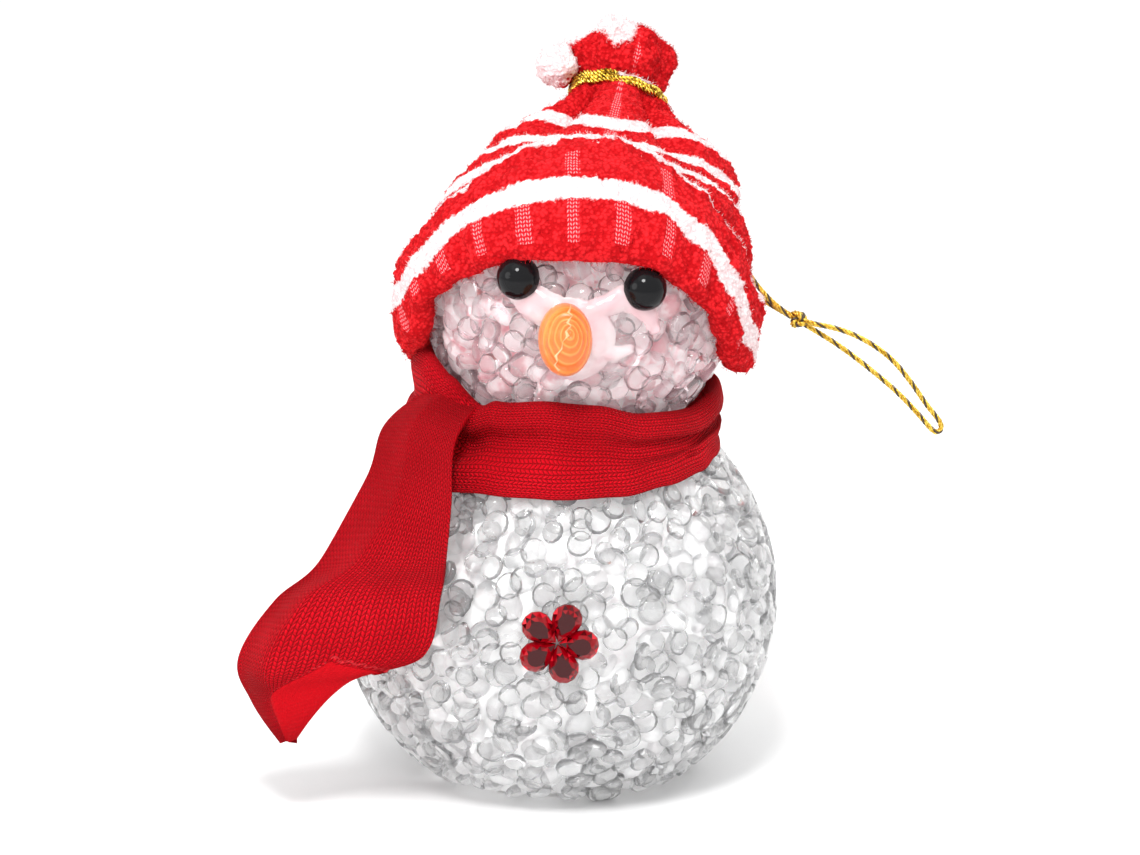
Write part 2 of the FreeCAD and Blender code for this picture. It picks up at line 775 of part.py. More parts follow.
def battery_cover():
    plate = cover_shape("cover", "0", "Dim.cover_thickness")
    sink = "Dim.screw_head + 0.15"
    tools = [
        rod("cover_sink", "Dim.screw_head_radius + Dim.fit_gap", sink, at("Dim.screw_out", EAR_Y)),
        rod("cover_hole", "Dim.screw_radius + Dim.fit_gap", "4", at("Dim.screw_out", EAR_Y, "-1")),
    ]
    grips = []
    for number in range(5):
        grips.append(
            mid_block(
                "cover_grip", "6", "0.5", "0.3", y="%s + %g" % (BAY_Y, 1.1 * (number - 2)), z="0"
            ),
        )
    piece(cut("cover_plate", plate, tools + grips), "battery_cover")


def cover_screw():
    place = at("Dim.screw_out", EAR_Y, "0.1")
    head = rod("screw_head", "Dim.screw_head_radius", "Dim.screw_head", place)
    shank = rod("screw_shank", "Dim.screw_radius", "Dim.screw_length", place)
    slots = [
        mid_block("slot_x", "2.2", "Dim.cross_slot", "0.5", x="Dim.screw_out", y=EAR_Y, z="0"),
        mid_block("slot_y", "Dim.cross_slot", "2.2", "0.5", x="Dim.screw_out", y=EAR_Y, z="0"),
    ]
    piece(cut("screw", join("screw_whole", [head, shank]), slots), "cover_screw")


def cells():
    for number in range(int(value("Dim.cell_count"))):
        y = "Dim.bay_start + Dim.contact_plate + Dim.spring_length + %d * Dim.cell_thickness" % number
        can = rod(
            "cell_can_%d" % number,
            "Dim.cell_radius",
            "Dim.cell_thickness - 0.3",
            at("0", y + " + 0.3", CELL_Z, LEAN_BACK),
        )
        cap = rod(
            "cell_cap_%d" % number,
            "Dim.cell_radius - 1.2",
            "Dim.cell_thickness",
            at("0", y, CELL_Z, LEAN_BACK),
        )
        piece(join("cell_%d" % number, [can, cap]), "button_cell_%d" % (number + 1))


SPRING_TURNS = 3
SPRING_STEPS = 10


def contact(name, y):
    """Plate against one end of the bay with a solder tab up through the roof."""
    plate = mid_block(
        name + "_plate", BAY_WIDTH + " - 2", "Dim.contact_plate", "%s - 3.4" % BAY_ROOF, y=y, z="3"
    )
    tab = mid_block(
        name + "_tab",
        "Dim.tab_width",
        "Dim.contact_plate",
        "%s + Dim.tab_rise - 4" % ROOF_TOP,
        x=TAB_X,
        y=y,
        z="4",
    )
    return [plate, tab]


def contacts():
    far = "Dim.bay_start + %s - Dim.contact_plate / 2" % BAY_LENGTH
    piece(join("positive", contact("positive_side", far)), "positive_contact")
    near = "Dim.bay_start + Dim.contact_plate / 2"
    join_depth = value("Dim.touch_gap")
    start_y = value("Dim.bay_start + Dim.contact_plate + Dim.spring_wire / 2") - join_depth
    depth = value("Dim.spring_length - Dim.spring_wire")
    steps = SPRING_TURNS * SPRING_STEPS
    route = []
    for number in range(steps + 1):
        turn = 2 * math.pi * number / SPRING_STEPS
        radius = value("Dim.spring_radius") * (1 - 0.35 * number / steps)
        y = start_y + depth * number / steps
        route.append((radius * math.cos(turn), y, value(CELL_Z) + radius * math.sin(turn)))
    coil = tube("spring", route, value("Dim.spring_wire"))
    piece(join("negative", contact("negative_side", near) + [coil]), "negative_contact")


def switch():
    sink = "Dim.base_floor"
    case = mid_block(
        "switch_box",
        "Dim.switch_length",
        "Dim.switch_depth",
        "Dim.switch_height",
        y="Dim.switch_out",
        z=sink,
    )
    slot = mid_block(
        "switch_slot",
        "Dim.knob_side + Dim.switch_travel + 0.6",
        "Dim.knob_side + 0.6",
        "Dim.knob_bite + 0.4 + 1",
        y="Dim.switch_out",
        z=sink + " - 1",
    )
    piece(cut("switch_shell", case, [slot]), "switch_case")
    knob_x = "-Dim.switch_travel / 2"
    knob = mid_block(
        "knob",
        "Dim.knob_side",
        "Dim.knob_side",
        "Dim.base_floor + Dim.knob_bite - Dim.knob_sink",
        x=knob_x,
        y="Dim.switch_out",
        z="Dim.knob_sink",
    )
    piece(knob, "switch_knob")
    pins = []
    for number in (-1, 0, 1):
        x = "%d * Dim.terminal_pitch" % number
        pins.append(
            mid_block(
                "pin",
                "Dim.terminal_side",
                "Dim.terminal_side",
                "Dim.terminal_rise",
                x=x,
                y="Dim.switch_out",
                z="%s + Dim.switch_height" % sink,
            ),
        )
    pin_set = doc.addObject("Part::Compound", "pins")
    pin_set.Links = pins
    piece(pin_set, "switch_terminals")


BOARD_Y = "(%s + 2.5)" % BAY_Y


def lamp():
    lead_holes = []
    leads = []
    for side in (-1, 1):
        x = "%d * Dim.lead_pitch / 2" % side
        hole_side = "Dim.lead_side + 0.1"
        lead_holes.append(
            mid_block("lead_hole", hole_side, hole_side, "4", x=x, y=BOARD_Y, z=BOARD_Z + " - 1"),
        )
        leg = "Dim.board_thickness + Dim.lamp_lift + 0.7"
        leads.append(
            mid_block(
                "lamp_lead", "Dim.lead_side", "Dim.lead_side", leg, x=x, y=BOARD_Y, z=BOARD_Z + " - 0.7"
            ),
        )
    board = mid_block(
        "board", "Dim.board_length", "Dim.board_width", "Dim.board_thickness", y=BOARD_Y, z=BOARD_Z
    )
    piece(cut("board_drilled", board, lead_holes), "circuit_board")
    seat = "%s + Dim.board_thickness + Dim.lamp_lift" % BOARD_Z
    flange = rod("lamp_flange", "Dim.lamp_flange", "1", at("0", BOARD_Y, seat))
    stem = rod("lamp_stem", "Dim.lamp_radius", "Dim.lamp_body", at("0", BOARD_Y, seat))
    dome = ball("lamp_dome", "Dim.lamp_radius", at("0", BOARD_Y, seat + " + Dim.lamp_body"))
    piece(join("lamp_lens", [flange, stem, dome]), "lamp_lens")
    lead_set = doc.addObject("Part::Compound", "lamp_leads")
    lead_set.Links = leads
    piece(lead_set, "lamp_legs")


def wires():
    thick = value("Dim.wire_diameter")
    top = value(ROOF_TOP)
    tab_x = value(TAB_X)
    far_y = value("Dim.bay_start + %s" % BAY_LENGTH)
    near_y = value("Dim.bay_start")
    board_y = value(BOARD_Y)
    board_top = value(BOARD_Z + " + Dim.board_thickness")
    pitch = value("Dim.terminal_pitch")
    switch_y = value("Dim.switch_out")
    pin_top = value("Dim.base_floor + Dim.switch_height + Dim.terminal_rise")
    side_x = value("Dim.board_length") / 2
    lift = thick * 0.6
    red = [
        (tab_x, far_y + 0.1, top + 0.6),
        (tab_x + 0.4, far_y + 2.6, top + 1.6),
        (tab_x + 0.6, switch_y - 3.6, top + 0.4),
        (pitch + 1.2, switch_y - 1.2, pin_top + 1.9),
        (pitch, switch_y, pin_top + 0.1),
    ]
    blue = [
        (0, switch_y, pin_top + 0.1),
        (-0.6, switch_y - 1.0, pin_top + 2.4),
        (-1.6, switch_y - 3.4, top + 2.6),
        (-2.4, board_y + 5.4, board_top + 1.6),
        (-2.6, board_y + 3.0, board_top + lift),
    ]
    black = [
        (tab_x, near_y - 0.3, top + 0.6),
        (tab_x + 0.2, near_y - 1.4, top + 2.0),
        (tab_x - 0.2, near_y - 0.2, board_top + 2.4),
        (side_x - 0.6, board_y - 5.2, board_top + 1.9),
        (side_x - 1.4, board_y - 3.0, board_top + lift),
    ]
    for name, route in (("red_wire", red), ("blue_wire", blue), ("black_wire", black)):
        piece(tube(name + "_run", route, thick), name)


# Bead of hot glue that holds the base in the body's mouth.
def glue_bead():
    major = "(Dim.base_radius + Dim.fit_gap + Dim.glue_ring / 2)"
    reach = "(Dim.body_radius - Dim.crystal_wall - Dim.glue_ring / 2)"
    z = "%s - sqrt(%s^2 - %s^2)" % (BODY_Z, reach, major)
    piece(ring("bead", major, "Dim.glue_ring / 2 - Dim.touch_gap", at(z=z)), "base_glue")


crystal_body()
crystal_head()
eyes()
carrot = nose()
face_glue(carrot)
flower()
hat()
hat_tie()
scarf()
hanging_cord()
base_housing()
battery_cover()
cover_screw()
cells()
contacts()
switch()
lamp()
wires()
glue_bead()
doc.recompute()

failed = [item.Label for item in doc.Objects if "Invalid" in item.State or "Error" in item.State]
if failed:
    raise RuntimeError("objects failed: %s" % ", ".join(failed))
os.makedirs("parts", exist_ok=True)
for item in SUBPARTS:
    if item.Shape.isNull() or not item.Shape.isValid():
        raise RuntimeError("bad shape: %s" % item.Label)
    item.Shape.exportStep("parts/%s.step" % item.Label)
    print("%s: %d solid(s), %.2f mm3" % (item.Label, len(item.Shape.Solids), item.Shape.Volume))
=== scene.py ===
import random
from math import atan2, cos, exp, hypot, pi, radians, sin, sqrt

import bpy
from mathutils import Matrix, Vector, noise


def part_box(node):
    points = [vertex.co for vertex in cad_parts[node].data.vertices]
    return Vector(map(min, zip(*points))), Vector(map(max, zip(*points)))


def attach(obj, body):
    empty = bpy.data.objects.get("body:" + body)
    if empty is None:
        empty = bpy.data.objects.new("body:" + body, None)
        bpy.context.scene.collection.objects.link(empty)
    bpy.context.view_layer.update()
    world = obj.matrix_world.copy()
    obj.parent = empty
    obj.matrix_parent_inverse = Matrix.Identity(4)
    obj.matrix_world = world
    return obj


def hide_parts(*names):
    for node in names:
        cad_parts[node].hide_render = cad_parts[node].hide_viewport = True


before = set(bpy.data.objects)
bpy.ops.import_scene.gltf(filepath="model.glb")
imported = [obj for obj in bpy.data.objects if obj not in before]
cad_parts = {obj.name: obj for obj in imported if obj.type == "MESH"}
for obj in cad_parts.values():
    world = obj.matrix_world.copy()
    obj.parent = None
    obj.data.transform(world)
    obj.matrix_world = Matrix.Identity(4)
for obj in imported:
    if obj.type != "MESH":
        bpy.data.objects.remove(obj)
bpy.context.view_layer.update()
SNOWMAN = "snowman"


# Crystal balls: clear plastic pellets tipped into two round moulds and heated until they
# stick to each other. The mould leaves their outer faces flush with the ball.
MM = 0.001
body_low, body_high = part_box("crystal_body")
BODY_RADIUS = (body_high.x - body_low.x) / 2
FOOT_RADIUS = 19.5 * MM
BODY = Vector(((body_low.x + body_high.x) / 2, 0, body_low.z + sqrt(BODY_RADIUS**2 - FOOT_RADIUS**2)))
head_low, head_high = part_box("crystal_head")
HEAD_RADIUS = (head_high.x - head_low.x) / 2
HEAD = Vector(((head_low.x + head_high.x) / 2, 0, head_high.z - HEAD_RADIUS))
NECK_AXIS = (HEAD - BODY).normalized()


class Finish:
    """A material and the short ways of adding to it."""

    def __init__(self, name, colour, roughness, **sockets):
        self.material = bpy.data.materials.new(name)
        self.material.use_nodes = True
        self.tree = self.material.node_tree
        self.shader = self.tree.nodes["Principled BSDF"]
        self.set(self.shader, "Base Color", (*colour, 1))
        self.set(self.shader, "Roughness", roughness)
        for socket, value in sockets.items():
            self.set(self.shader, socket.replace("_", " "), value)

    def set(self, node, socket, value):
        if isinstance(value, bpy.types.NodeSocket):
            self.tree.links.new(value, node.inputs[socket])
        else:
            node.inputs[socket].default_value = value

    def node(self, kind, inputs=(), **settings):
        node = self.tree.nodes.new("ShaderNode" + kind)
        for name, value in settings.items():
            setattr(node, name, value)
        for socket, value in dict(inputs).items():
            self.set(node, socket, value)
        return node

    def math(self, operation, a, b=0.0):
        return self.node("Math", {0: a, 1: b}, operation=operation).outputs[0]

    def add(self, a, b):
        return self.math("ADD", a, b)

    def times(self, a, b):
        return self.math("MULTIPLY", a, b)

    def less(self, a, b):
        return self.math("SUBTRACT", a, b)

    def step(self, value, low, high):
        """0 below low, 1 above high, smooth between them."""
        ramp = self.node("MapRange", {0: value, 1: low, 2: high}, interpolation_type="SMOOTHSTEP")
        return ramp.outputs[0]

    def mix(self, share, low, high):
        mixer = self.node("Mix", data_type="RGBA")
        for socket, value in ((0, share), (6, low), (7, high)):
            colour = value if isinstance(value, (bpy.types.NodeSocket, float)) else (*value, 1)
            self.set(mixer, socket, colour)
        return mixer.outputs[2]

    def place(self):
        return self.node("TexCoord").outputs["Object"]

    def noise(self, scale, detail=2.0, where=None):
        inputs = {"Vector": where or self.place(), "Scale": scale, "Detail": detail}
        return self.node("TexNoise", inputs).outputs[0]

    def mark(self, name):
        return self.node("Attribute", attribute_name=name)

    def share_of(self, name):
        return self.mark(name).outputs["Fac"]

    def weave(self, part):
        """One part of the cloth's own measure: across, along or whiteness."""
        return self.node("SeparateXYZ", {0: self.mark("weave").outputs["Vector"]}).outputs[part]

    def relief(self, height, depth, strength=1.0):
        bump = self.node("Bump", {"Height": height, "Distance": depth, "Strength": strength})
        self.set(self.shader, "Normal", bump.outputs[0])

    def wear(self, **sockets):
        for socket, value in sockets.items():
            self.set(self.shader, socket.replace("_", " "), value)
        return self

    def coat(self, *pieces):
        for piece in pieces:
            piece.data.materials.clear()
            piece.data.materials.append(self.material)


RIGHT = Vector((1, 0, 0))


def pointing(way, part, sign):
    """The direction, turned about where that part of it has the wrong sign."""
    return -way if way[part] * sign < 0 else way


def ring_way(axis, heading):
    """The way out of an axis, by degrees round from the front."""
    side = (RIGHT - axis * RIGHT.dot(axis)).normalized()
    front = pointing(axis.cross(side), 1, -1)
    heading = radians(heading)
    return front * cos(heading) + side * sin(heading)


def ball_way(azimuth, elevation):
    """The way out of a ball, by degrees round from the front and up."""
    azimuth, elevation = radians(azimuth), radians(elevation)
    level = cos(elevation)
    return Vector((level * sin(azimuth), -level * cos(azimuth), sin(elevation)))


def new_piece(name, points, faces, smooth=True):
    mesh = bpy.data.meshes.new(name)
    mesh.from_pydata([tuple(point) for point in points], [], faces)
    mesh.shade_smooth() if smooth else mesh.shade_flat()
    mesh.update()
    piece = bpy.data.objects.new(name, mesh)
    bpy.context.scene.collection.objects.link(piece)
    return piece


def fix(piece, slot, *nodes):
    """The piece rides on the snowman and stands for CAD nodes, which it hides. slot is not used."""
    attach(piece, SNOWMAN)
    if nodes:
        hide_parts(*nodes)
    return piece


def corner_mark(piece, name, kind, values):
    mark = piece.data.attributes.new(name, kind, "CORNER")
    key = "vector" if kind == "FLOAT_VECTOR" else "value"
    flat = [part for value in values for part in value] if key == "vector" else values
    mark.data.foreach_set(key, flat)


PELLET_SIDES = 14
PELLET_RINGS = 6


def pellets(name, middle, radius, count, seed, keep):
    """Flattened drops spread evenly under the mould's face, each turned its own way."""
    dice = random.Random(seed)
    points, faces, rim_shade_shares = [], [], []
    for number in range(count):
        level = 1 - 2 * (number + 0.5) / count
        turn = number * pi * (3 - sqrt(5)) + dice.uniform(-0.03, 0.03)
        flat = sqrt(1 - level * level)
        out = Vector((flat * cos(turn), flat * sin(turn), level))
        out = (out + Vector([dice.gauss(0, 0.016) for side in range(3)])).normalized()
        if not keep(middle + out * radius):
            continue
        lean = Vector([dice.gauss(0, 0.42) for side in range(3)])
        normal = (out + lean).normalized()
        wide = dice.uniform(1.62, 2.2) * MM
        thick = wide * dice.uniform(0.42, 0.62)
        long = wide * dice.uniform(1.0, 1.16)
        sit = middle + out * (radius - thick - dice.uniform(-0.35, 0.45) * MM)
        side = normal.orthogonal().normalized()
        across = normal.cross(side)
        spin = dice.uniform(0, pi)
        first = len(points)
        for ring in range(PELLET_RINGS + 1):
            polar = pi * ring / PELLET_RINGS
            rise, round_ = cos(polar), sin(polar)
            for step in range(PELLET_SIDES if 0 < ring < PELLET_RINGS else 1):
                angle = spin + 2 * pi * step / PELLET_SIDES
                spread = side * cos(angle) * long + across * sin(angle) * wide
                point = sit + normal * rise * thick + spread * round_ ** 0.8
                reach = point - middle
                if reach.length > radius:
                    point = middle + reach.normalized() * radius
                point.z = max(point.z, 0.05 * MM)
                points.append(point)
                rim_shade_shares.append(round_)
        last = len(points) - 1
        for step in range(PELLET_SIDES):
            after = (step + 1) % PELLET_SIDES
            faces.append((first, first + 1 + step, first + 1 + after))
            for ring in range(PELLET_RINGS - 2):
                upper = first + 1 + ring * PELLET_SIDES
                lower = upper + PELLET_SIDES
                faces.append((upper + step, lower + step, lower + after, upper + after))
            base = last - PELLET_SIDES
            faces.append((last, base + after, base + step))
    piece = new_piece(name, points, faces)
    # This mark tells the finish where to paint shade round each pellet's edge.
    corner_mark(piece, "rim_shade", "FLOAT", [rim_shade_shares[corner] for face in faces for corner in face])
    return piece


def ball_core(name, middle, radius, open_from, seed):
    """The pellets further in, as one lumpy shell, open below a polar angle in degrees."""
    rows, columns = 64, 144
    points, faces = [], []
    for row in range(rows + 1):
        polar = radians(open_from) * row / rows
        for column in range(columns):
            turn = 2 * pi * column / columns
            out = Vector((sin(polar) * cos(turn), sin(polar) * sin(turn), cos(polar)))
            lump = noise.cell((out * radius / (3.1 * MM)) + Vector((seed, 0, 0))) * 1.3 * MM
            point = middle + out * (radius - lump)
            point.z = max(point.z, 0.3 * MM)
            points.append(point)
    for row in range(rows):
        for column in range(columns):
            after = (column + 1) % columns
            here, below = row * columns, (row + 1) * columns
            faces.append((here + column, below + column, below + after, here + after))
    return new_piece(name, points, faces)


NECK_RISE = 28.67
NECK = BODY + NECK_AXIS * NECK_RISE * MM
NECK_HOLE = 13 * MM
body_pellets = pellets(
    "body_pellets", BODY, BODY_RADIUS, 1480, 3, lambda point: point.z > 0.6 * MM and (point - NECK).length > NECK_HOLE
)
head_pellets = pellets(
    "head_pellets", HEAD, HEAD_RADIUS, 700, 8, lambda point: (point - NECK).length > NECK_HOLE
)
body_core = ball_core("body_core", BODY, BODY_RADIUS - 2.1 * MM, 147, 1)
head_core = ball_core("head_core", HEAD, HEAD_RADIUS - 2.0 * MM, 136, 5)


def pellet_finish(name, clear, edge):
    """Clear plastic. Each pellet's edge, where it is seen through most, is painted darker: painted shade for the dark
    outline that bent light gives there.
    """
    finish = Finish(name, clear, 0.04, IOR=1.4, Transmission_Weight=0.88)
    rim_shade = finish.step(finish.share_of("rim_shade"), 0.84, 0.98)
    cloudy = finish.step(finish.noise(520, 3), 0.4, 0.7)
    inside = finish.mix(cloudy, clear, tuple(0.5 * (a + b) for a, b in zip(clear, edge)))
    finish.wear(Base_Color=finish.mix(rim_shade, inside, edge))
    finish.relief(finish.noise(420, 3), 0.25 * MM, 0.4)
    return finish


# The second colour of each finish is the painted shade round the pellets' outlines.
pellet_finish("clear_pellet", (1.0, 1.0, 1.0), (0.74, 0.74, 0.75)).coat(body_pellets)
pellet_finish("head_pellet", (1.0, 0.965, 0.97), (0.9, 0.68, 0.72)).coat(head_pellets)
# The cores give off a faint painted glow that brightens the balls. Their darker patches are painted shade for the
# deeper gaps between pellets, and the pink is the head's own tint.
for piece, name, low, high in (
    (body_core, "inner_crystal_painted_glow_and_shade", (0.72, 0.69, 0.7), (1.0, 1.0, 1.0)),
    (head_core, "inner_pink_painted_glow_and_shade", (0.62, 0.12, 0.17), (1.0, 0.9, 0.91)),
):
    glowing_core = Finish(name, high, 0.3, Emission_Color=(*high, 1), Emission_Strength=0.22)
    glowing_core.wear(Base_Color=glowing_core.mix(glowing_core.step(glowing_core.noise(330, 3), 0.35, 0.55), low, high))
    glowing_core.coat(piece)
fix(body_pellets, "crystal", "crystal_body")
fix(body_core, "crystal")
fix(head_pellets, "crystal", "crystal_head")
fix(head_core, "crystal")


# Hanging cord: thin gold cord of four twisted strands, one of them dark. It leaves the tie,
# hangs behind the hat, and is knotted into a loop with a tight fold at its tip.
CORD_WIDTH = 0.85 * MM
CORD_ROUTE = (
    (15.4, 20.2, 94.2), (19.6, 19.8, 88.0), (24.2, 17.2, 81.0), (26.6, 15.6, 74.4), (29.4, 13.6, 69.8),
    (33.2, 10.9, 66.4), (37.0, 9.6, 64.9), (41.6, 9.6, 64.1), (45.9, 9.7, 62.2), (49.7, 9.8, 59.4),
    (52.6, 9.9, 55.8), (55.0, 10.0, 52.2), (57.6, 10.0, 49.1), (56.5, 10.0, 47.6), (54.0, 10.2, 50.6),
    (50.6, 10.4, 54.2), (46.2, 10.5, 57.9), (41.9, 10.6, 61.2), (37.4, 10.7, 64.0), (33.0, 12.0, 66.3),
    (28.9, 15.2, 68.2), (26.0, 18.0, 72.4), (24.2, 20.2, 78.6), (20.6, 22.4, 85.4), (15.4, 23.6, 91.9),
)


def smooth_line(name, route, resolution):
    """Points along one smooth spline that has the route's points as its control points."""
    curve = bpy.data.curves.new(name, "CURVE")
    curve.dimensions = "3D"
    spline = curve.splines.new("NURBS")
    spline.points.add(len(route) - 1)
    for point, place in zip(spline.points, route):
        point.co = (*(Vector(place) * MM), 1)
    spline.order_u = 3
    spline.use_endpoint_u = True
    spline.resolution_u = resolution
    line = bpy.data.objects.new(name, curve)
    mesh = bpy.data.meshes.new_from_object(line)
    points = [vertex.co.copy() for vertex in mesh.vertices]
    bpy.data.objects.remove(line)
    bpy.data.meshes.remove(mesh)
    return points


def frames_along(points):
    """Each point with two directions square to the line that don't twist on the way."""
    side = (points[1] - points[0]).orthogonal().normalized()
    found = []
    for number, point in enumerate(points):
        ahead = points[min(number + 1, len(points) - 1)] - points[max(number - 1, 0)]
        ahead.normalize()
        side = (side - ahead * side.dot(ahead)).normalized()
        found.append((point, side.copy(), ahead.cross(side)))
    return found


def twisted(name, points, strands, reach, thick, pitch, sides=7):
    """Strands wound round a line. The mark tells one strand from the next."""
    places, faces, marks = [], [], []
    frames = frames_along(points)
    for strand in range(strands):
        first = len(places)
        run = 0.0
        for number, (point, side, across) in enumerate(frames):
            run += (point - frames[max(number - 1, 0)][0]).length
            turn = 2 * pi * (strand / strands + run / pitch)
            out = side * cos(turn) + across * sin(turn)
            along = side.cross(across)
            for step in range(sides):
                angle = 2 * pi * step / sides
                off = out * cos(angle) + along.cross(out) * sin(angle)
                places.append(point + out * reach + off * thick)
        for number in range(len(frames) - 1):
            for step in range(sides):
                after = (step + 1) % sides
                here, there = first + number * sides, first + (number + 1) * sides
                faces.append((here + step, here + after, there + after, there + step))
                marks += [float(strand)] * 4
        faces.append([first + step for step in range(sides)][::-1])
        faces.append([first + (len(frames) - 1) * sides + step for step in range(sides)])
        marks += [float(strand)] * (2 * sides)
    piece = new_piece(name, places, faces)
    corner_mark(piece, "strand", "FLOAT", marks)
    return piece


cord_line = smooth_line("cord_line", CORD_ROUTE, 16)
hanging_cord = fix(
    twisted("gold_hanging_cord", cord_line, 4, 0.5 * CORD_WIDTH - 0.2 * MM, 0.2 * MM, 2.9 * MM),
    "gold_cord",
    "hanging_cord",
)
gold_thread = Finish("gold_thread", (0.8, 0.5, 0.06), 0.28, Metallic=0.75)
strand = gold_thread.share_of("strand")
dark_strand = gold_thread.math("GREATER_THAN", strand, 2.5)
# Painted glints and painted shade: the gold is brighter and darker in fine specks, and the same noise gives the
# thread its fine bumps.
painted_glints_and_bumps = gold_thread.noise(2600, 2)
gold = gold_thread.mix(gold_thread.step(painted_glints_and_bumps, 0.35, 0.65), (0.55, 0.3, 0.02), (0.98, 0.72, 0.12))
gold_thread.wear(Base_Color=gold_thread.mix(dark_strand, gold, (0.1, 0.075, 0.06)))
gold_thread.relief(painted_glints_and_bumps, 0.06 * MM)
gold_thread.coat(hanging_cord)


# Knot: the cord's two runs tied over each other where the loop starts. It is the same
# twisted gold cord, pulled tight by hand, and nothing else holds the loop.
knot_low, knot_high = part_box("cord_knot")
KNOT = (knot_low + knot_high) / 2
knot_route = []
for number in range(61):
    turn = 2 * pi * number / 60
    wide = 0.72 + 0.42 * cos(3 * turn)
    knot_route.append(
        KNOT
        + Vector((0.9 * wide * cos(2 * turn), 0.8 * sin(3 * turn), 0.95 * wide * sin(2 * turn))) * MM
    )
cord_knot = fix(twisted("gold_cord_knot", knot_route, 4, 0.23 * MM, 0.22 * MM, 2.9 * MM), "gold_cord", "cord_knot")
gold_thread.coat(cord_knot)


# Hat: one knitted tube of plush with bare ladder rows and white stripes, its lower end
# turned up as a cuff, its top gathered by the tie and left open above it as a tuft.
BRIM_AXIS = Vector((0, 0.714, 0.7)).normalized()
GATHER_LINE = Vector((0.18, 0.535, 0.825)).normalized()
tie_low, tie_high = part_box("hat_tie")
GATHER = (tie_low + tie_high) / 2
GATHER_RISE = (GATHER - HEAD).dot(GATHER_LINE)


def by_turn(turn, table):
    """A smooth value between those that the table gives for a few turns, in degrees."""
    turn = (turn + 180) % 360 - 180
    marks = sorted(table)
    marks = [(marks[-1][0] - 360, marks[-1][1]), *marks, (marks[0][0] + 360, marks[0][1])]
    for (before, low), (after, high) in zip(marks, marks[1:]):
        if before <= turn <= after:
            share = (turn - before) / (after - before)
            return low + (high - low) * share * share * (3 - 2 * share)


def bell(distance, width):
    return exp(-((distance / width) ** 2))


def near(heading, middle, width):
    """1 at a heading, falling off to both sides."""
    return bell(turned(heading, middle), width)


def turned(a, b):
    """The turn between two headings, in degrees, from -180 to 180."""
    return (a - b + 180) % 360 - 180


# The cuff's edges and its white band, as turns from the brim's axis for each heading.
CUFF_FOOT = (
    (-150, 76), (-120, 95), (-100, 109), (-78, 114), (-60, 108), (-28, 108.5), (0, 110.8), (21, 110.4),
    (49, 115), (70, 120), (80, 122), (95, 117), (110, 104), (122, 95), (150, 76), (180, 70),
)
CUFF_TOP = (
    (-150, 50), (-120, 64), (-90, 80), (-66, 84), (-40, 78), (-33, 75), (-25, 70), (-16, 66), (0, 62),
    (12, 63), (20, 66), (28, 70), (40, 77), (57, 88), (75, 98), (95, 90), (120, 66), (150, 50), (180, 45),
)
CUFF_BAND = (
    (-150, 62), (-120, 80), (-95, 92), (-72, 98.4), (-52, 96.5), (-33, 91.2), (-18, 89.7), (0, 89.4),
    (12, 89.4), (25, 91), (40, 97.4), (58, 106), (75, 112.5), (95, 107), (120, 82), (150, 62), (180, 56),
)
# Across the folded cloth: share of the cuff's height, and distance from the head's middle.
CUFF_FOLD = (
    (0.5, 23.25), (0.3, 23.3), (0.12, 23.4), (0.03, 23.7), (-0.02, 24.4), (-0.03, 25.2), (0.0, 26.0),
    (0.05, 26.6), (0.15, 26.9), (0.3, 27.05), (0.5, 27.1), (0.7, 27.0), (0.85, 26.8), (0.94, 26.6),
    (1.0, 26.2), (1.03, 25.7), (1.01, 25.2), (0.94, 24.9), (0.82, 24.7),
)
LADDERS = tuple(-2 + 15.2 * number for number in range(-11, 13))
HAT_MM_PER_DEGREE = 26.6 * pi / 180


def cloth(name, rows, columns, at, closed=True):
    """A woven grid. at gives a point, its place in the cloth in mm, its whiteness and how bare it is."""
    width = columns if closed else columns + 1
    points, faces, weave, bare, cells = [], [], [], [], []
    for row in range(rows + 1):
        line = [at(row / rows, column / columns) for column in range(columns + 1)]
        points += [cell[0] for cell in line[:width]]
        cells.append(line)
    for row in range(rows):
        for column in range(columns):
            after = (column + 1) % width
            here, there = row * width, (row + 1) * width
            faces.append((here + column, there + column, there + after, here + after))
            corners = (cells[row][column], cells[row + 1][column], cells[row + 1][column + 1], cells[row][column + 1])
            weave += [corner[1] for corner in corners]
            bare += [corner[2] for corner in corners]
    piece = new_piece(name, points, faces)
    corner_mark(piece, "weave", "FLOAT_VECTOR", weave)
    corner_mark(piece, "bare", "FLOAT", bare)
    return piece


def along_list(share, values):
    """A value part of the way along an evenly spaced list, joined by a smooth curve."""
    place = share * (len(values) - 1)
    number = min(int(place), len(values) - 2)
    part = place - number
    before, low = values[max(number - 1, 0)], values[number]
    high, after = values[number + 1], values[min(number + 2, len(values) - 1)]
    return low + 0.5 * part * (
        high - before + part * (2 * before - 5 * low + 4 * high - after + part * (3 * (low - high) + after - before))
    )


def lump(point, size, depth):
    """Height of the pile's clumps at a place on the cloth."""
    return noise.fractal(point / (size * MM), 0.6, 2.0, 3) * depth * MM


def on_brim(polar, heading, reach):
    polar = radians(polar)
    out = ring_way(BRIM_AXIS, heading)
    return HEAD + (BRIM_AXIS * cos(polar) + out * sin(polar)) * reach * MM


def ladder_at(heading):
    return max(near(heading, ladder, 1.9 if number % 2 else 2.7) for number, ladder in enumerate(LADDERS))


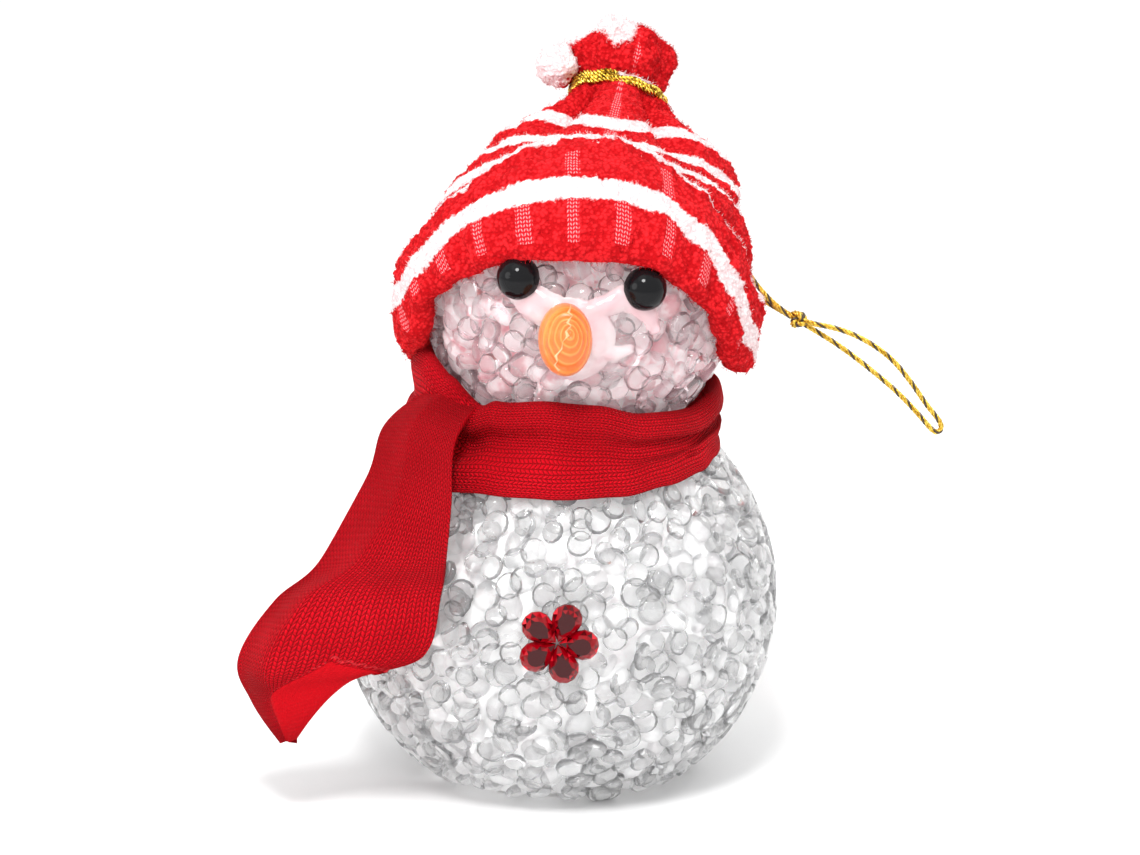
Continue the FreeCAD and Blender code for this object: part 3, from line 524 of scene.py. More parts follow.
def cuff_at(down, round_):
    heading = -180 + 360 * round_
    share, reach = (along_list(down, [step[part] for step in CUFF_FOLD]) for part in (0, 1))
    foot, top = by_turn(heading, CUFF_FOOT), by_turn(heading, CUFF_TOP)
    polar = foot + (top - foot) * share
    rise = (by_turn(heading, CUFF_BAND) - polar) * HAT_MM_PER_DEGREE
    outside = 1 if down > 0.4 else 0
    white = 0.5 + (1.75 - abs(rise)) / 1.6
    if share > 0.9 and outside:
        white = max(white, 0.5 + (share - 0.92) * 8)
    bare = ladder_at(heading) * outside * (1 if rise < -1.9 else 0.0)
    if 1.9 < rise < 7:
        bare = 0.7 * near(heading, -2, 3) + 0.7 * near(heading, 28, 3)
    point = on_brim(polar, heading, reach)
    swell = 0.35 * cos(radians(heading * 24 + 70)) * (1 if rise < -1.9 else 0.3)
    reach += swell + (-0.3 * bare if outside else 0)
    reach += lump(point, 1.2, 0.42 * (1 - bare)) / MM + lump(point, 7, 0.5) / MM
    return on_brim(polar, heading, reach), (heading * HAT_MM_PER_DEGREE, rise, white), bare


cuff = cloth("hat_cuff", 130, 420, cuff_at)

# Crown rings, from inside the cuff to the tie: share of the way, reach, and how far the
# rounded folds stand out and the creases between them go in, in mm.
CROWN_RISE = (0.1, 0.22, 0.34, 0.45, 0.56, 0.66, 0.75, 0.83, 0.9, 0.955, 1.0, 1.04)
CROWN_REACH = (24.2, 23.7, 22.4, 20.5, 17.8, 15.2, 12.9, 10.9, 9.0, 7.6, 6.5, 6.3)
CREASE_DEPTH = (0, 0, 0, 0.3, 1.4, 3.2, 4.6, 4.4, 3.0, 1.5, 0.5, 0.0)
CREASES = ((-28, 9), (38, 9), (133, 12), (-138, 12), (178, 11), (-62, 6))
CROWN_FOLDS = (
    (5, 18, (0, 0, 0, 0.4, 1.0, 1.4, 1.6, 1.4, 1.0, 0.5, 0, 0)),
    (-88, 36, (0, 0, 0, -0.8, 0.2, 1.4, 1.4, -1.2, -1.6, -0.6, 0, 0)),
    (84, 36, (0, 0, 0, 0, 2.6, 4.6, 4.8, 2.2, 0.4, 0.1, 0, 0)),
    (155, 30, (0, 0, 0, 0.3, 2.2, 3.8, 4.4, 3.8, 2.0, 0.7, 0, 0)),
    (-155, 30, (0, 0, 0, 0.3, 1.8, 3.2, 3.8, 3.2, 1.8, 0.6, 0, 0)),
)
CROWN_STRIPES = ((1.8, 2.4), (15.5, 1.3), (21.5, 1.2), (27.0, 1.2))


def on_gather(rise, heading, reach, lean):
    out = ring_way(BRIM_AXIS.lerp(GATHER_LINE, lean).normalized(), heading)
    return HEAD + GATHER_LINE * rise + out * reach * MM


def crown_at(down, round_):
    heading = -180 + 360 * round_
    tuck = max(0.0, 1 - down / 0.1)
    down = max(0.0, (down - 0.1) / 0.9)
    rise = along_list(down, CROWN_RISE)
    reach = along_list(down, CROWN_REACH)
    for middle, width, stands in CROWN_FOLDS:
        reach += along_list(down, stands) * near(heading, middle, width)
    for crease, width in CREASES:
        reach -= along_list(down, CREASE_DEPTH) * near(heading, crease, width) * (0.4 if width < 9 else 1)
    reach += 0.25 * sin(radians(heading * 11 + 40)) * bell(down - 0.85, 0.15)
    lean = min(1.0, down / 0.4)
    from_tie = (1 - down) * 34
    from_tie += 2.2 * sin(radians(heading * 2 + 30)) * (1 - down)
    from_tie -= 4.5 * near(heading, 5, 28) * min(1.0, max(0.0, (0.87 - down) * 6))
    white = 0.5 + max(half - abs(from_tie - middle) for middle, half in CROWN_STRIPES) / 1.3
    bare = 0.7 * near(heading, 4, 4) * (1 if white < 0.4 else 0.2)
    point = on_gather(rise * GATHER_RISE, heading, reach, lean)
    reach += lump(point, 1.2, 0.42 * (1 - bare)) / MM + lump(point, 4, 0.5) / MM - 0.2 * bare
    around = radians(heading) * (8 + 18 * (1 - down))
    point = on_gather(rise * GATHER_RISE, heading, reach, lean)
    hidden = on_brim(max(84, by_turn(heading, CUFF_TOP) + 10), heading, 24.6)
    return point.lerp(hidden, tuck), (around, from_tie + 8 * tuck, white), bare


crown = cloth("hat_crown", 120, 400, crown_at)

# Tuft: the tube's open end above the tie, with lobes of different height and width.
TUFT_HEIGHT = (
    (-135, 8), (-90, 6.8), (-50, 8.4), (-18, 10), (0, 10.4), (14, 10.2), (60, 10), (95, 9.6), (140, 9.4),
    (180, 9.4),
)
TUFT_REACH = ((-135, 7.6), (-92, 10.2), (-50, 7.8), (-10, 6.4), (30, 6.2), (80, 6.5), (110, 6.5), (180, 6.6))
TUFT_SHARES = (
    (0.0, 0.82), (0.12, 0.86), (0.3, 0.98), (0.5, 1.06), (0.7, 1.06), (0.86, 0.97), (0.96, 0.82), (1.0, 0.64),
    (0.93, 0.44), (0.74, 0.26), (0.6, 0.02),
)


def tuft_at(down, round_):
    heading = -180 + 360 * round_
    rise_share, reach_share = (along_list(down, [step[part] for step in TUFT_SHARES]) for part in (0, 1))
    rise = by_turn(heading, TUFT_HEIGHT) * rise_share
    open_ = min(1.0, max(0.0, (down - 0.05) / 0.35))
    wide = 6.5 + (by_turn(heading, TUFT_REACH) - 6.5) * open_
    fold = 1 + 0.1 * open_ * cos(radians(heading * 7 + 100))
    fold += 0.06 * open_ * cos(radians(heading * 3))
    reach = wide * reach_share * fold
    ball, peak = near(heading, -84, 26), near(heading, -8, 22)
    white = max(3 * ball * (rise_share - 0.15), 3 * peak * (rise_share - 0.3)) - 0.2
    if down > 0.75:
        white = 1.2 * (ball + peak) - 0.2
    bare = 0.6 * near(heading, 18, 7) * bell(rise_share - 0.45, 0.4) * (1 if down < 0.6 else 0)
    point = on_gather(GATHER_RISE + rise * MM, heading, reach, 1)
    reach += lump(point, 1.2, 0.42 * (1 - bare)) / MM + lump(point, 3.5, 0.8) / MM * open_
    around = radians(heading) * 7
    return on_gather(GATHER_RISE + rise * MM, heading, reach, 1), (around, rise + 40, white), bare


tuft = cloth("hat_tuft", 84, 260, tuft_at)

# Two corners of the tube's open edge curl over into soft white knobs.
TUFT_CURLS = (((-9.0, -0.4, 4.9), (3.2, 3.0, 3.2)), ((-0.9, 1.0, 9.2), (2.3, 2.4, 2.7)))


def curl_at(middle, size):
    def at(down, round_):
        polar, turn = pi * (0.01 + 0.98 * down), 2 * pi * round_
        flat = sin(polar)
        out = Vector((flat * cos(turn) * size[0], flat * sin(turn) * size[1], cos(polar) * size[2]))
        point = GATHER + (Vector(middle) + out) * MM
        point += out.normalized() * (lump(point, 1.2, 0.4) + lump(point, 3, 0.5))
        white = 1.1 - 0.7 * max(0.0, (out.x * (0.6 if middle[0] < -5 else 0.2) - out.z) / size[2])
        return point, (turn * 3, polar * 3, white), 0.0

    return at


curls = [cloth("hat_tuft_curl_%d" % (number + 1), 24, 40, curl_at(*curl)) for number, curl in enumerate(TUFT_CURLS)]


def pile(name, pieces, count, length, seed):
    """Fine loose fibres standing on the cloth, each a sliver with the colour of its root."""
    dice = random.Random(seed)
    points, faces, weave = [], [], []
    for piece in pieces:
        mesh = piece.data
        marks = mesh.attributes["weave"].data
        bare = mesh.attributes["bare"].data
        share = count * len(mesh.polygons) // sum(len(other.data.polygons) for other in pieces)
        for number in range(share):
            face = mesh.polygons[dice.randrange(len(mesh.polygons))]
            corner = face.loop_indices[dice.randrange(4)]
            if bare[corner].value > 0.35:
                continue
            root = mesh.vertices[mesh.loops[corner].vertex_index].co
            root = root + Vector([dice.gauss(0, 0.15) for side in range(3)]) * MM
            lean = Vector([dice.gauss(0, 0.7) for side in range(3)])
            grow = (face.normal + lean).normalized() * length * dice.uniform(0.4, 1.25)
            side = grow.cross(Vector((dice.random(), dice.random(), dice.random()))).normalized() * 0.045 * MM
            first = len(points)
            points += [root - side, root + side, root + grow * 0.6 + side * 0.7, root + grow]
            faces.append((first, first + 1, first + 2, first + 3))
            weave += [marks[corner].vector[:]] * 4
    piece = new_piece(name, points, faces)
    corner_mark(piece, "weave", "FLOAT_VECTOR", weave)
    corner_mark(piece, "bare", "FLOAT", [0.0] * len(weave))
    return piece


def outward(piece, middle):
    """Turns the faces so that their normals point away from a place."""
    away = sum((face.center - middle).dot(face.normal) for face in piece.data.polygons)
    if away < 0:
        piece.data.flip_normals()


for piece, middle in ((cuff, HEAD), (crown, HEAD), (tuft, GATHER)):
    outward(piece, middle)
for curl, (middle, size) in zip(curls, TUFT_CURLS):
    outward(curl, GATHER + Vector(middle) * MM)
hat_pile = pile("hat_pile", [cuff, crown, tuft, *curls], 60000, 0.5 * MM, 11)


def knit_height(finish, across, along):
    """Raised yarn of plain knitting: columns of V stitches, across and along in mm."""
    column = finish.math("DIVIDE", finish.weave(0), across)
    column = finish.add(column, finish.times(finish.noise(160, 1), 0.35))
    leg = finish.math("ABSOLUTE", finish.less(finish.math("FRACT", column), 0.5))
    row = finish.math("DIVIDE", finish.weave(1), along)
    row = finish.add(row, finish.times(leg, 1.25))
    row = finish.add(row, finish.times(finish.noise(210, 1), 0.5))
    off_middle = finish.math("ABSOLUTE", finish.less(finish.math("FRACT", row), 0.5))
    ridge = finish.less(1.0, finish.times(off_middle, 2.0))
    half = finish.math("FRACT", finish.times(column, 2.0))
    off_yarn = finish.math("ABSOLUTE", finish.times(finish.less(half, 0.5), 2.0))
    round_ = finish.less(1.0, finish.math("POWER", off_yarn, 2.5))
    return finish.times(finish.math("POWER", ridge, 0.6), round_)


plush = Finish("plush_knit", (0.72, 0.01, 0.015), 0.95, Specular_IOR_Level=0.15)
fuzz = plush.noise(1700, 3)
clumps = plush.noise(520, 2)
loop_cells = plush.node("TexVoronoi", {"Vector": plush.place(), "Scale": 1700.0, "Randomness": 0.9})
loops = plush.less(1.0, loop_cells.outputs["Distance"])
edge = plush.add(plush.weave(2), plush.times(plush.less(fuzz, 0.5), 0.9))
is_white = plush.step(edge, 0.36, 0.64)
# Painted shade: the red and the white pile are both darker between the loops and clumps, where shade falls.
shade = plush.step(plush.add(loops, plush.times(clumps, 1.0)), 0.8, 1.35)
red = plush.mix(shade, (0.46, 0.002, 0.005), (0.78, 0.016, 0.022))
white = plush.mix(shade, (0.8, 0.6, 0.61), (0.93, 0.85, 0.85))
pile_colour_with_painted_shade = plush.mix(is_white, red, white)
stitch = knit_height(plush, 0.8, 0.62)
bare_colour = plush.mix(plush.step(stitch, 0.45, 0.9), (0.66, 0.008, 0.016), (0.92, 0.3, 0.32))
is_bare = plush.step(plush.add(plush.share_of("bare"), plush.times(plush.less(clumps, 0.5), 0.5)), 0.35, 0.55)
plush.wear(Base_Color=plush.mix(is_bare, pile_colour_with_painted_shade, bare_colour))
plush_height = plush.add(plush.times(fuzz, 0.5), loops)
bump_mix = plush.node("Mix", {0: is_bare, 2: plush_height, 3: plush.times(stitch, 0.5)})
plush.relief(bump_mix.outputs[0], 0.4 * MM, 0.7)
plush.coat(cuff, crown, tuft, hat_pile, *curls)
fix(cuff, "hat_knit", "knit_hat")
for piece in (crown, tuft, *curls, hat_pile):
    fix(piece, "hat_knit")


# Tie: gold tinsel cord wound two and a half times round the gathered hat. It is braided
# flat, pulls the knitting together, and its two ends go on as the hanging cord.
def ring_route(middle, axis, reach, turns, pitch, wave):
    side = axis.orthogonal().normalized()
    across = axis.cross(side)
    steps = int(150 * turns)
    found = []
    for number in range(steps + 1):
        turn = 2 * pi * turns * number / steps
        out = side * cos(turn) + across * sin(turn)
        rise = pitch * (number / steps - 0.5) * turns + wave * sin(11 * turn)
        found.append(middle + out * (reach + 0.3 * wave * cos(13 * turn)) + axis * rise)
    return found


tie_route = ring_route(GATHER, GATHER_LINE, 6.95 * MM, 2.6, 0.62 * MM, 0.16 * MM)
hat_tie = fix(twisted("gold_hat_tie", tie_route, 3, 0.27 * MM, 0.25 * MM, 1.9 * MM), "gold_cord", "hat_tie")
tinsel = Finish("gold_tinsel", (0.85, 0.55, 0.05), 0.22, Metallic=0.9)
# The tinsel's dark and bright cells are painted shade and painted glints, and the same cells also give its facets'
# relief.
painted_spark_cells = tinsel.node("TexVoronoi", {"Vector": tinsel.place(), "Scale": 2300.0}).outputs["Color"]
painted_sparks_and_bumps = tinsel.node("SeparateColor", {0: painted_spark_cells}).outputs[0]
tinsel.wear(Base_Color=tinsel.mix(tinsel.step(painted_sparks_and_bumps, 0.25, 0.6), (0.3, 0.16, 0.01), (1.0, 0.75, 0.12)))
tinsel.relief(painted_sparks_and_bumps, 0.15 * MM)
tinsel.coat(hat_tie)


# Scarf: one strip of plain machine knitting. It goes round the neck with a soft crease along
# its middle, crosses over at one side, and its end hangs over the body with a folded hem.
# Tables give each line's height over the neck's plane, or its reach, in mm by heading.
WRAP_TOP = (
    (-150, 4.5), (-120, 5.5), (-90, 8.2), (-68, 8.8), (-56, 6.2), (-44, 2.6), (-32, 4.2), (-8, 5.6), (8, 5.5),
    (29, 3.9), (59, 3.4), (80, 4.6), (100, 5.2), (150, 4.6), (180, 4.5),
)
WRAP_FOOT = (
    (-150, -5.5), (-120, -7), (-90, -8.5), (-49, -8.9), (-25, -7.7), (-8, -7.3), (17, -6.6), (35, -5.7),
    (54, -4.9), (70, -4.1), (90, -3.6), (120, -3.6), (180, -4.4),
)
WRAP_DENT = ((-90, 0.6), (-50, 1.2), (-20, 1.0), (10, 0.5), (45, 0.7), (75, 1.7), (100, 1.6), (180, 0.8))
SCARF_THICK = 1.0


def ball_reach(rise, radius, middle_rise):
    return sqrt(max(radius**2 - (rise - middle_rise) ** 2, 0.01))


def wrap_at(down, round_):
    heading = -180 + 360 * round_
    top, foot = by_turn(heading, WRAP_TOP), by_turn(heading, WRAP_FOOT)
    on_head = ball_reach(top, 22.7, 16.77) + 0.3 + SCARF_THICK
    on_body = ball_reach(foot, 32.5, -NECK_RISE) + 0.4 + SCARF_THICK
    crease = top + (foot - top) * 0.42
    dent = by_turn(heading, WRAP_DENT)
    rises = (
        top - 2.6, top - 0.9, top + 0.1, top - 0.2, top - 1.6, top - 3.2,
        crease, crease - 1.7, foot + 3.2, foot + 1.2, foot, foot - 0.1,
    )
    bulge = max(on_head + 1.1, 21.7)
    low = max(on_body - 1.6, 22.0)
    reaches = (
        on_head - 1.4, on_head - 0.9, on_head - 0.2, on_head + 0.6, bulge, bulge + 0.1, bulge - dent,
        bulge - dent + 0.9, low, on_body - 0.5, on_body, on_body - 0.9,
    )
    rise, reach = along_list(down, rises), along_list(down, reaches)
    reach += 0.35 * sin(radians(heading * 4 + 60)) * (1 - abs(2 * down - 1))
    point = NECK + (NECK_AXIS * rise + ring_way(NECK_AXIS, heading) * reach) * MM
    return point, (down * 19, radians(heading) * 22, 0), 0.0


wrap = cloth("scarf_wrap", 60, 260, wrap_at)
outward(wrap, NECK)

# The hanging end, line by line: azimuth, elevation and stand-off of each edge from the body.
TAIL_LINES = (
    ((-66, 58, 6.4), (-40, 61, 4.2)), ((-60, 46, 8.6), (-35, 49, 6.2)), ((-53.2, 34.6, 8.6), (-29.2, 35.2, 5.6)),
    ((-56.6, 16.2, 9.6), (-27.3, 22.1, 5.2)), ((-63.7, 6.3, 13.2), (-28, 15.1, 3.9)),
    ((-66.6, -4.5, 18.1), (-31.9, -0.2, 2.9)), ((-63.5, -10.8, 17.8), (-46, -6.4, 8.2)),
    ((-57.7, -17.5, 16.6), (-55, -17.0, 14.8)),
)
TAIL_RIDGE = (0.5, 0.5, 0.5, 0.46, 0.4, 0.36, 0.4, 0.5)
TAIL_BULGE = (1.4, 1.8, 1.8, 3.2, 5.4, 5.6, 2.6, 0.3)


def off_body(azimuth, elevation, stand_off):
    return BODY + ball_way(azimuth, elevation) * (BODY_RADIUS + stand_off * MM)


def tail_at(down, over):
    left = off_body(*(along_list(down, [line[0][part] for line in TAIL_LINES]) for part in range(3)))
    right = off_body(*(along_list(down, [line[1][part] for line in TAIL_LINES]) for part in range(3)))
    ridge = along_list(down, TAIL_RIDGE)
    rise = max(0.0, 1 - abs(over - ridge) / (ridge if over < ridge else 1 - ridge))
    rise = rise * rise * (3 - 2 * rise) * 0.35 + 0.65 * rise
    point = left.lerp(right, over)
    out = (point - BODY).normalized()
    bulge = along_list(down, TAIL_BULGE)
    point += out * bulge * rise * MM
    point += out * 0.4 * MM * sin(over * 9 + down * 7) * down
    fold = 0.7 + (0.6 * (0.6 - over) if over < 0.6 else 0.22 * (over - 0.6))
    hem = min(1.0, max(0.0, (down - fold) / 0.02)) * min(1.0, max(0.0, (over - 0.3) / 0.1))
    thread = bell(down - fold - 0.004 * sin(over * 90), 0.004) * (1 if over > 0.34 else 0)
    return point + out * 0.45 * MM * hem, ((over - 0.5) * 21, down * 56, thread), hem


tail = cloth("scarf_tail", 180, 60, tail_at, closed=False)
outward(tail, BODY)
for piece, thick in ((wrap, SCARF_THICK), (tail, 1.3)):
    body = piece.modifiers.new("thickness", "SOLIDIFY")
    body.thickness = thick * MM
    body.offset = -1

wool = Finish("scarf_knit", (0.6, 0.01, 0.015), 0.9, Specular_IOR_Level=0.12)
yarn = knit_height(wool, 0.8, 0.6)
mottle = wool.noise(90, 2)
lit = wool.mix(wool.step(mottle, 0.3, 0.7), (0.62, 0.0, 0.008), (0.78, 0.003, 0.014))
# Painted shade: the knit is darker in the grooves between the yarns.
knit_with_groove_shade = wool.mix(wool.step(yarn, 0.05, 0.5), (0.3, 0.0, 0.002), lit)
seam = wool.weave(2)
fluff = wool.times(wool.noise(2400, 2), 0.25)
felted = wool.step(wool.share_of("bare"), 0.3, 0.7)
knit_depth = wool.times(yarn, wool.less(1.0, wool.times(felted, 0.85)))
wool.relief(wool.add(knit_depth, fluff), 0.5 * MM)
# Painted shade: the smooth, upward-facing hem is darkened to stand in for the knit shade it lacks.
hem_and_knit_with_painted_shade = wool.mix(felted, knit_with_groove_shade, (0.5, 0.001, 0.006))
wool.wear(Base_Color=wool.mix(wool.step(seam, 0.3, 0.8), hem_and_knit_with_painted_shade, (0.75, 0.03, 0.04)))
wool.coat(wrap, tail)
fix(wrap, "scarf_knit", "knit_scarf")
fix(tail, "scarf_knit")


# Face: two half beads of polished black plastic. Each sits on a pad of hot glue, and the
# flower and the base are held by the same clear glue.
bead_black = Finish("bead_black", (0.006, 0.006, 0.007), 0.03, Specular_IOR_Level=0.18)
bead_black.wear(Roughness=bead_black.add(0.03, bead_black.times(bead_black.noise(700, 4), 0.05)))
bead_black.coat(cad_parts["left_eye"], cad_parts["right_eye"])
hot_glue = Finish("hot_glue", (0.98, 0.9, 0.9), 0.12, Transmission_Weight=0.55, IOR=1.45)
hot_glue.relief(hot_glue.noise(260, 2), 0.3 * MM, 0.5)
hot_glue.coat(*(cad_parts[name] for name in ("eye_glue", "flower_glue", "base_glue")))


def on_ball(middle, azimuth, elevation, reach):
    return middle + ball_way(azimuth, elevation) * reach


# Carrot nose: a stub of orange wax-like plastic with growth rings and a pale split in it.
# It is moulded in one piece and pushed into soft glue on the head.
NOSE_FOOT = on_ball(HEAD, -5.5, -4, HEAD_RADIUS - 0.7 * MM)
NOSE_LINE = on_ball(Vector(), 3, 12, 1.0)
NOSE_SIDE = pointing(NOSE_LINE.cross(Vector((0, 0, 1))).normalized(), 0, 1)
NOSE_RISE = pointing(NOSE_SIDE.cross(NOSE_LINE), 2, 1)
NOSE_LENGTH = 7.1 * MM
NOSE_HALF_WIDTH, NOSE_HALF_HEIGHT = 3.8 * MM, 5.1 * MM


def on_nose(share, turn, lift=0.0):
    """A place on the nose: share is 1 at its widest line and 0 at its tip, or more than 1 behind."""
    if share > 1:
        along, wide = 0.32 * (2 - share) ** 0.8, 1 - 0.16 * (share - 1)
    else:
        along, wide = 0.32 + 0.68 * (1 - share**2.3) ** 0.52, share
    ring = sin(2 * pi * (along * 7.5 + 0.12 * sin(turn * 2 + 1)))
    wide = wide * (1 + 0.008 * ring) + lift
    out = NOSE_SIDE * cos(turn) * NOSE_HALF_WIDTH + NOSE_RISE * sin(turn) * NOSE_HALF_HEIGHT
    lean = (NOSE_SIDE * 0.5 + NOSE_RISE * 0.9) * MM * max(0.0, 1 - share)
    return NOSE_FOOT + NOSE_LINE * (along * NOSE_LENGTH + lift * 5 * MM) + out * wide + lean


def nose_at(down, round_):
    share = 2 - 2 * down
    turn = 2 * pi * round_
    lump_ = 0.12 * MM * noise.noise(on_nose(min(share, 1.9), turn) / (2.2 * MM))
    return on_nose(max(share, 0.001), turn) + NOSE_LINE * lump_, (share, 0, 0), 0.0


carrot_nose = cloth("carrot_nose_wax", 72, 64, nose_at)
outward(carrot_nose, NOSE_FOOT)
carrot = Finish("carrot_wax", (0.95, 0.3, 0.03), 0.32, Subsurface_Weight=0.25, Subsurface_Scale=0.002)
growth = carrot.weave(0)
rings = carrot.math("SINE", carrot.add(carrot.times(growth, 34.0), carrot.times(carrot.noise(240, 2), 7.0)))
wax = carrot.mix(carrot.step(carrot.noise(230, 3), 0.35, 0.65), (0.9, 0.17, 0.025), (0.97, 0.27, 0.05))
carrot.wear(Base_Color=carrot.mix(carrot.step(rings, 0.0, 1.4), wax, (1.0, 0.33, 0.08)))
carrot.relief(carrot.add(rings, carrot.noise(900, 2)), 0.1 * MM, 0.6)
carrot.coat(carrot_nose)
fix(carrot_nose, "nose_orange", "carrot_nose")

NOSE_SPLIT = (
    (0.2, 0.97), (0.15, 0.84), (0.04, 0.7), (0.17, 0.6), (0.05, 0.5), (-0.06, 0.36), (0.06, 0.26), (-0.14, 0.1),
    (-0.08, -0.04), (-0.24, -0.16), (-0.27, -0.34), (-0.45, -0.48), (-0.38, -0.62), (-0.46, -0.7), (-0.3, -0.84),
    (-0.28, -0.96),
)


def nose_split():
    points, faces = [], []
    for number, (right, up) in enumerate(NOSE_SPLIT):
        thick = 0.014 + 0.018 * (number % 3)
        if number in (0, len(NOSE_SPLIT) - 1):
            thick = 0.012
        for side, lift in ((-thick, 0.0), (0.0, 0.018), (thick, 0.0)):
            share = hypot(right + side, up)
            points.append(on_nose(share, atan2(up, right + side), lift + 0.004))
        if number:
            first = 3 * number - 3
            for side in (0, 1):
                faces.append((first + side, first + side + 1, first + side + 4, first + side + 3))
    return new_piece("nose_split", points, faces, smooth=False)


split = nose_split()
pale_wax = Finish("pale_wax", (0.98, 0.66, 0.45), 0.5)
pale_wax.wear(Base_Color=pale_wax.mix(pale_wax.noise(1500, 2), (0.98, 0.36, 0.13), (1.0, 0.62, 0.36)))
pale_wax.coat(split)
fix(split, "nose_orange")

# Hot glue on the face: a collar round the nose, thicker at its right, and smears that run
# from it and from eye to eye, laid on the pellets while soft.
GLUE_SMEARS = (
    (
        (-19, 12.5, 1.8), (-12, 8.8, 2.0), (-5, 6.6, 1.7), (3, 6.3, 1.6), (10, 8.6, 1.6), (16, 11.0, 1.9),
        (21, 9.0, 1.7), (26, 4.0, 1.3), (28, -1, 0.9),
    ),
    ((-24, 13, 1.6), (-17, 7.5, 1.9), (-10, 4.0, 1.8)),
    ((8, -8, 1.6), (13, -9.5, 1.3), (18, -8, 0.8)),
)


def glue_depth(azimuth, elevation):
    depth = 0.0
    right, up = azimuth + 2.5, elevation + 4.0
    collar = hypot(right / (15.5 if right > 0 else 11.5), up / 15.5)
    depth += 2.7 * max(0.0, 1 - collar) ** 0.8
    for smear in GLUE_SMEARS:
        nearest = 0.0
        for (x1, y1, w1), (x2, y2, w2) in zip(smear, smear[1:]):
            share = ((azimuth - x1) * (x2 - x1) + (elevation - y1) * (y2 - y1)) / ((x2 - x1) ** 2 + (y2 - y1) ** 2)
            share = min(1.0, max(0.0, share))
            gap = hypot(azimuth - x1 - (x2 - x1) * share, elevation - y1 - (y2 - y1) * share) * 0.4
            wide = w1 + (w2 - w1) * share
            nearest = max(nearest, 0.85 * max(0.0, 1 - (gap / wide) ** 2))
        depth = max(depth, nearest) + 0.25 * min(depth, nearest)
    return depth


def face_smears():
    columns, rows = 170, 110
    points, faces, depths = [], [], []
    for row in range(rows + 1):
        elevation = -22 + 42 * row / rows
        for column in range(columns + 1):
            azimuth = -32 + 66 * column / columns
            depth = glue_depth(azimuth, elevation)
            sag = 0.12 * noise.noise(Vector((azimuth, elevation, 0)) * 0.28)
            depths.append(depth)
            reach = HEAD_RADIUS + (depth + sag * min(depth, 1.0) - 0.12) * MM
            points.append(on_ball(HEAD, azimuth, elevation, reach))
    for row in range(rows):
        for column in range(columns):
            here = row * (columns + 1) + column
            corners = (here, here + 1, here + columns + 2, here + columns + 1)
            if max(depths[corner] for corner in corners) > 0.02:
                faces.append(corners)
    return new_piece("face_glue_smears", points, faces)


smears = face_smears()
outward(smears, HEAD)
pink_glue = Finish("pink_glue", (0.98, 0.78, 0.8), 0.13, Transmission_Weight=0.4, IOR=1.45)
pink_glue.relief(pink_glue.noise(240, 2), 0.35 * MM, 0.5)
milky = pink_glue.step(pink_glue.noise(170, 2), 0.35, 0.65)
pink_glue.wear(Base_Color=pink_glue.mix(milky, (0.96, 0.66, 0.7), (0.99, 0.88, 0.89)))
pink_glue.coat(smears)
fix(smears, "hot_glue", "face_glue")


# Flower: five faceted drops of clear red resin, moulded as one gem with a flat back. It is
# stuck to the body ball with a dot of hot glue.
FLOWER_OUT = on_ball(Vector(), 0, 4.7, 1.0)
FLOWER_UP = pointing(RIGHT.cross(FLOWER_OUT), 2, 1)
PETAL_MIDDLE, PETAL_ROUND = 3.7, 2.2
# Each ring of a petal: share of its outline, height in mm, and a half step's turn or not.
PETAL_RINGS = ((0.93, 0.0, 0), (1.0, 0.45, 0), (0.98, 0.85, 0), (0.79, 1.65, 1), (0.55, 2.15, 0))


def petal_outline(steps):
    """A drop with its point at the flower's middle, counted round from the point."""
    found = []
    for number in range(steps):
        turn = 2 * pi * number / steps
        if number == 0:
            found.append((0.15, 0.0))
            continue
        reach = PETAL_ROUND
        x, y = PETAL_MIDDLE - reach * cos(turn), reach * sin(turn)
        if cos(turn) > 0.35:
            y *= 0.95
            x -= 0.45
        found.append((x, y))
    return found


def flower_gem():
    dice = random.Random(4)
    points, faces, glints = [], [], []
    outline = petal_outline(12)
    steps = len(outline)
    for petal in range(5):
        turn = radians(-4 + 72 * petal)
        first = len(points)
        for share, height, half in PETAL_RINGS:
            for number in range(steps):
                x, y = outline[number]
                if half:
                    after = outline[(number + 1) % steps]
                    x, y = (x + after[0]) / 2, (y + after[1]) / 2
                x, y = 3.35 + (x - 3.35) * share, y * share
                flat = (x * cos(turn) - y * sin(turn), x * sin(turn) + y * cos(turn))
                points.append(
                    BODY + FLOWER_OUT * (BODY_RADIUS + (0.35 + height) * MM)
                    + (RIGHT * flat[0] + FLOWER_UP * flat[1]) * MM
                )
        for ring in range(len(PETAL_RINGS) - 1):
            low, high = first + ring * steps, first + (ring + 1) * steps
            lean = PETAL_RINGS[ring + 1][2] - PETAL_RINGS[ring][2]
            for number in range(steps):
                after = (number + 1) % steps
                if lean == 0:
                    faces.append((low + number, low + after, high + after, high + number))
                    glints += [dice.uniform(0.1, 0.5)] * 4
                elif lean > 0:
                    faces.append((low + number, low + after, high + number))
                    faces.append((low + after, high + after, high + number))
                    glints += [dice.uniform(0.2, 1.0)] * 3 + [dice.uniform(0.0, 0.7)] * 3
                else:
                    faces.append((low + number, high + after, high + number))
                    faces.append((low + number, low + after, high + after))
                    glints += [dice.uniform(0.0, 0.6)] * 3 + [dice.uniform(0.2, 0.9)] * 3
        faces.append([first + 4 * steps + number for number in range(steps)])
        glints += [0.06] * steps
    piece = new_piece("flower_drops", points, faces, smooth=False)
    # This mark sets each facet's painted shade or painted glint.
    corner_mark(piece, "glint", "FLOAT", glints)
    return piece


flower = flower_gem()
outward(flower, BODY)
ruby = Finish("ruby_resin", (0.35, 0.0, 0.01), 0.05, Specular_IOR_Level=0.3)
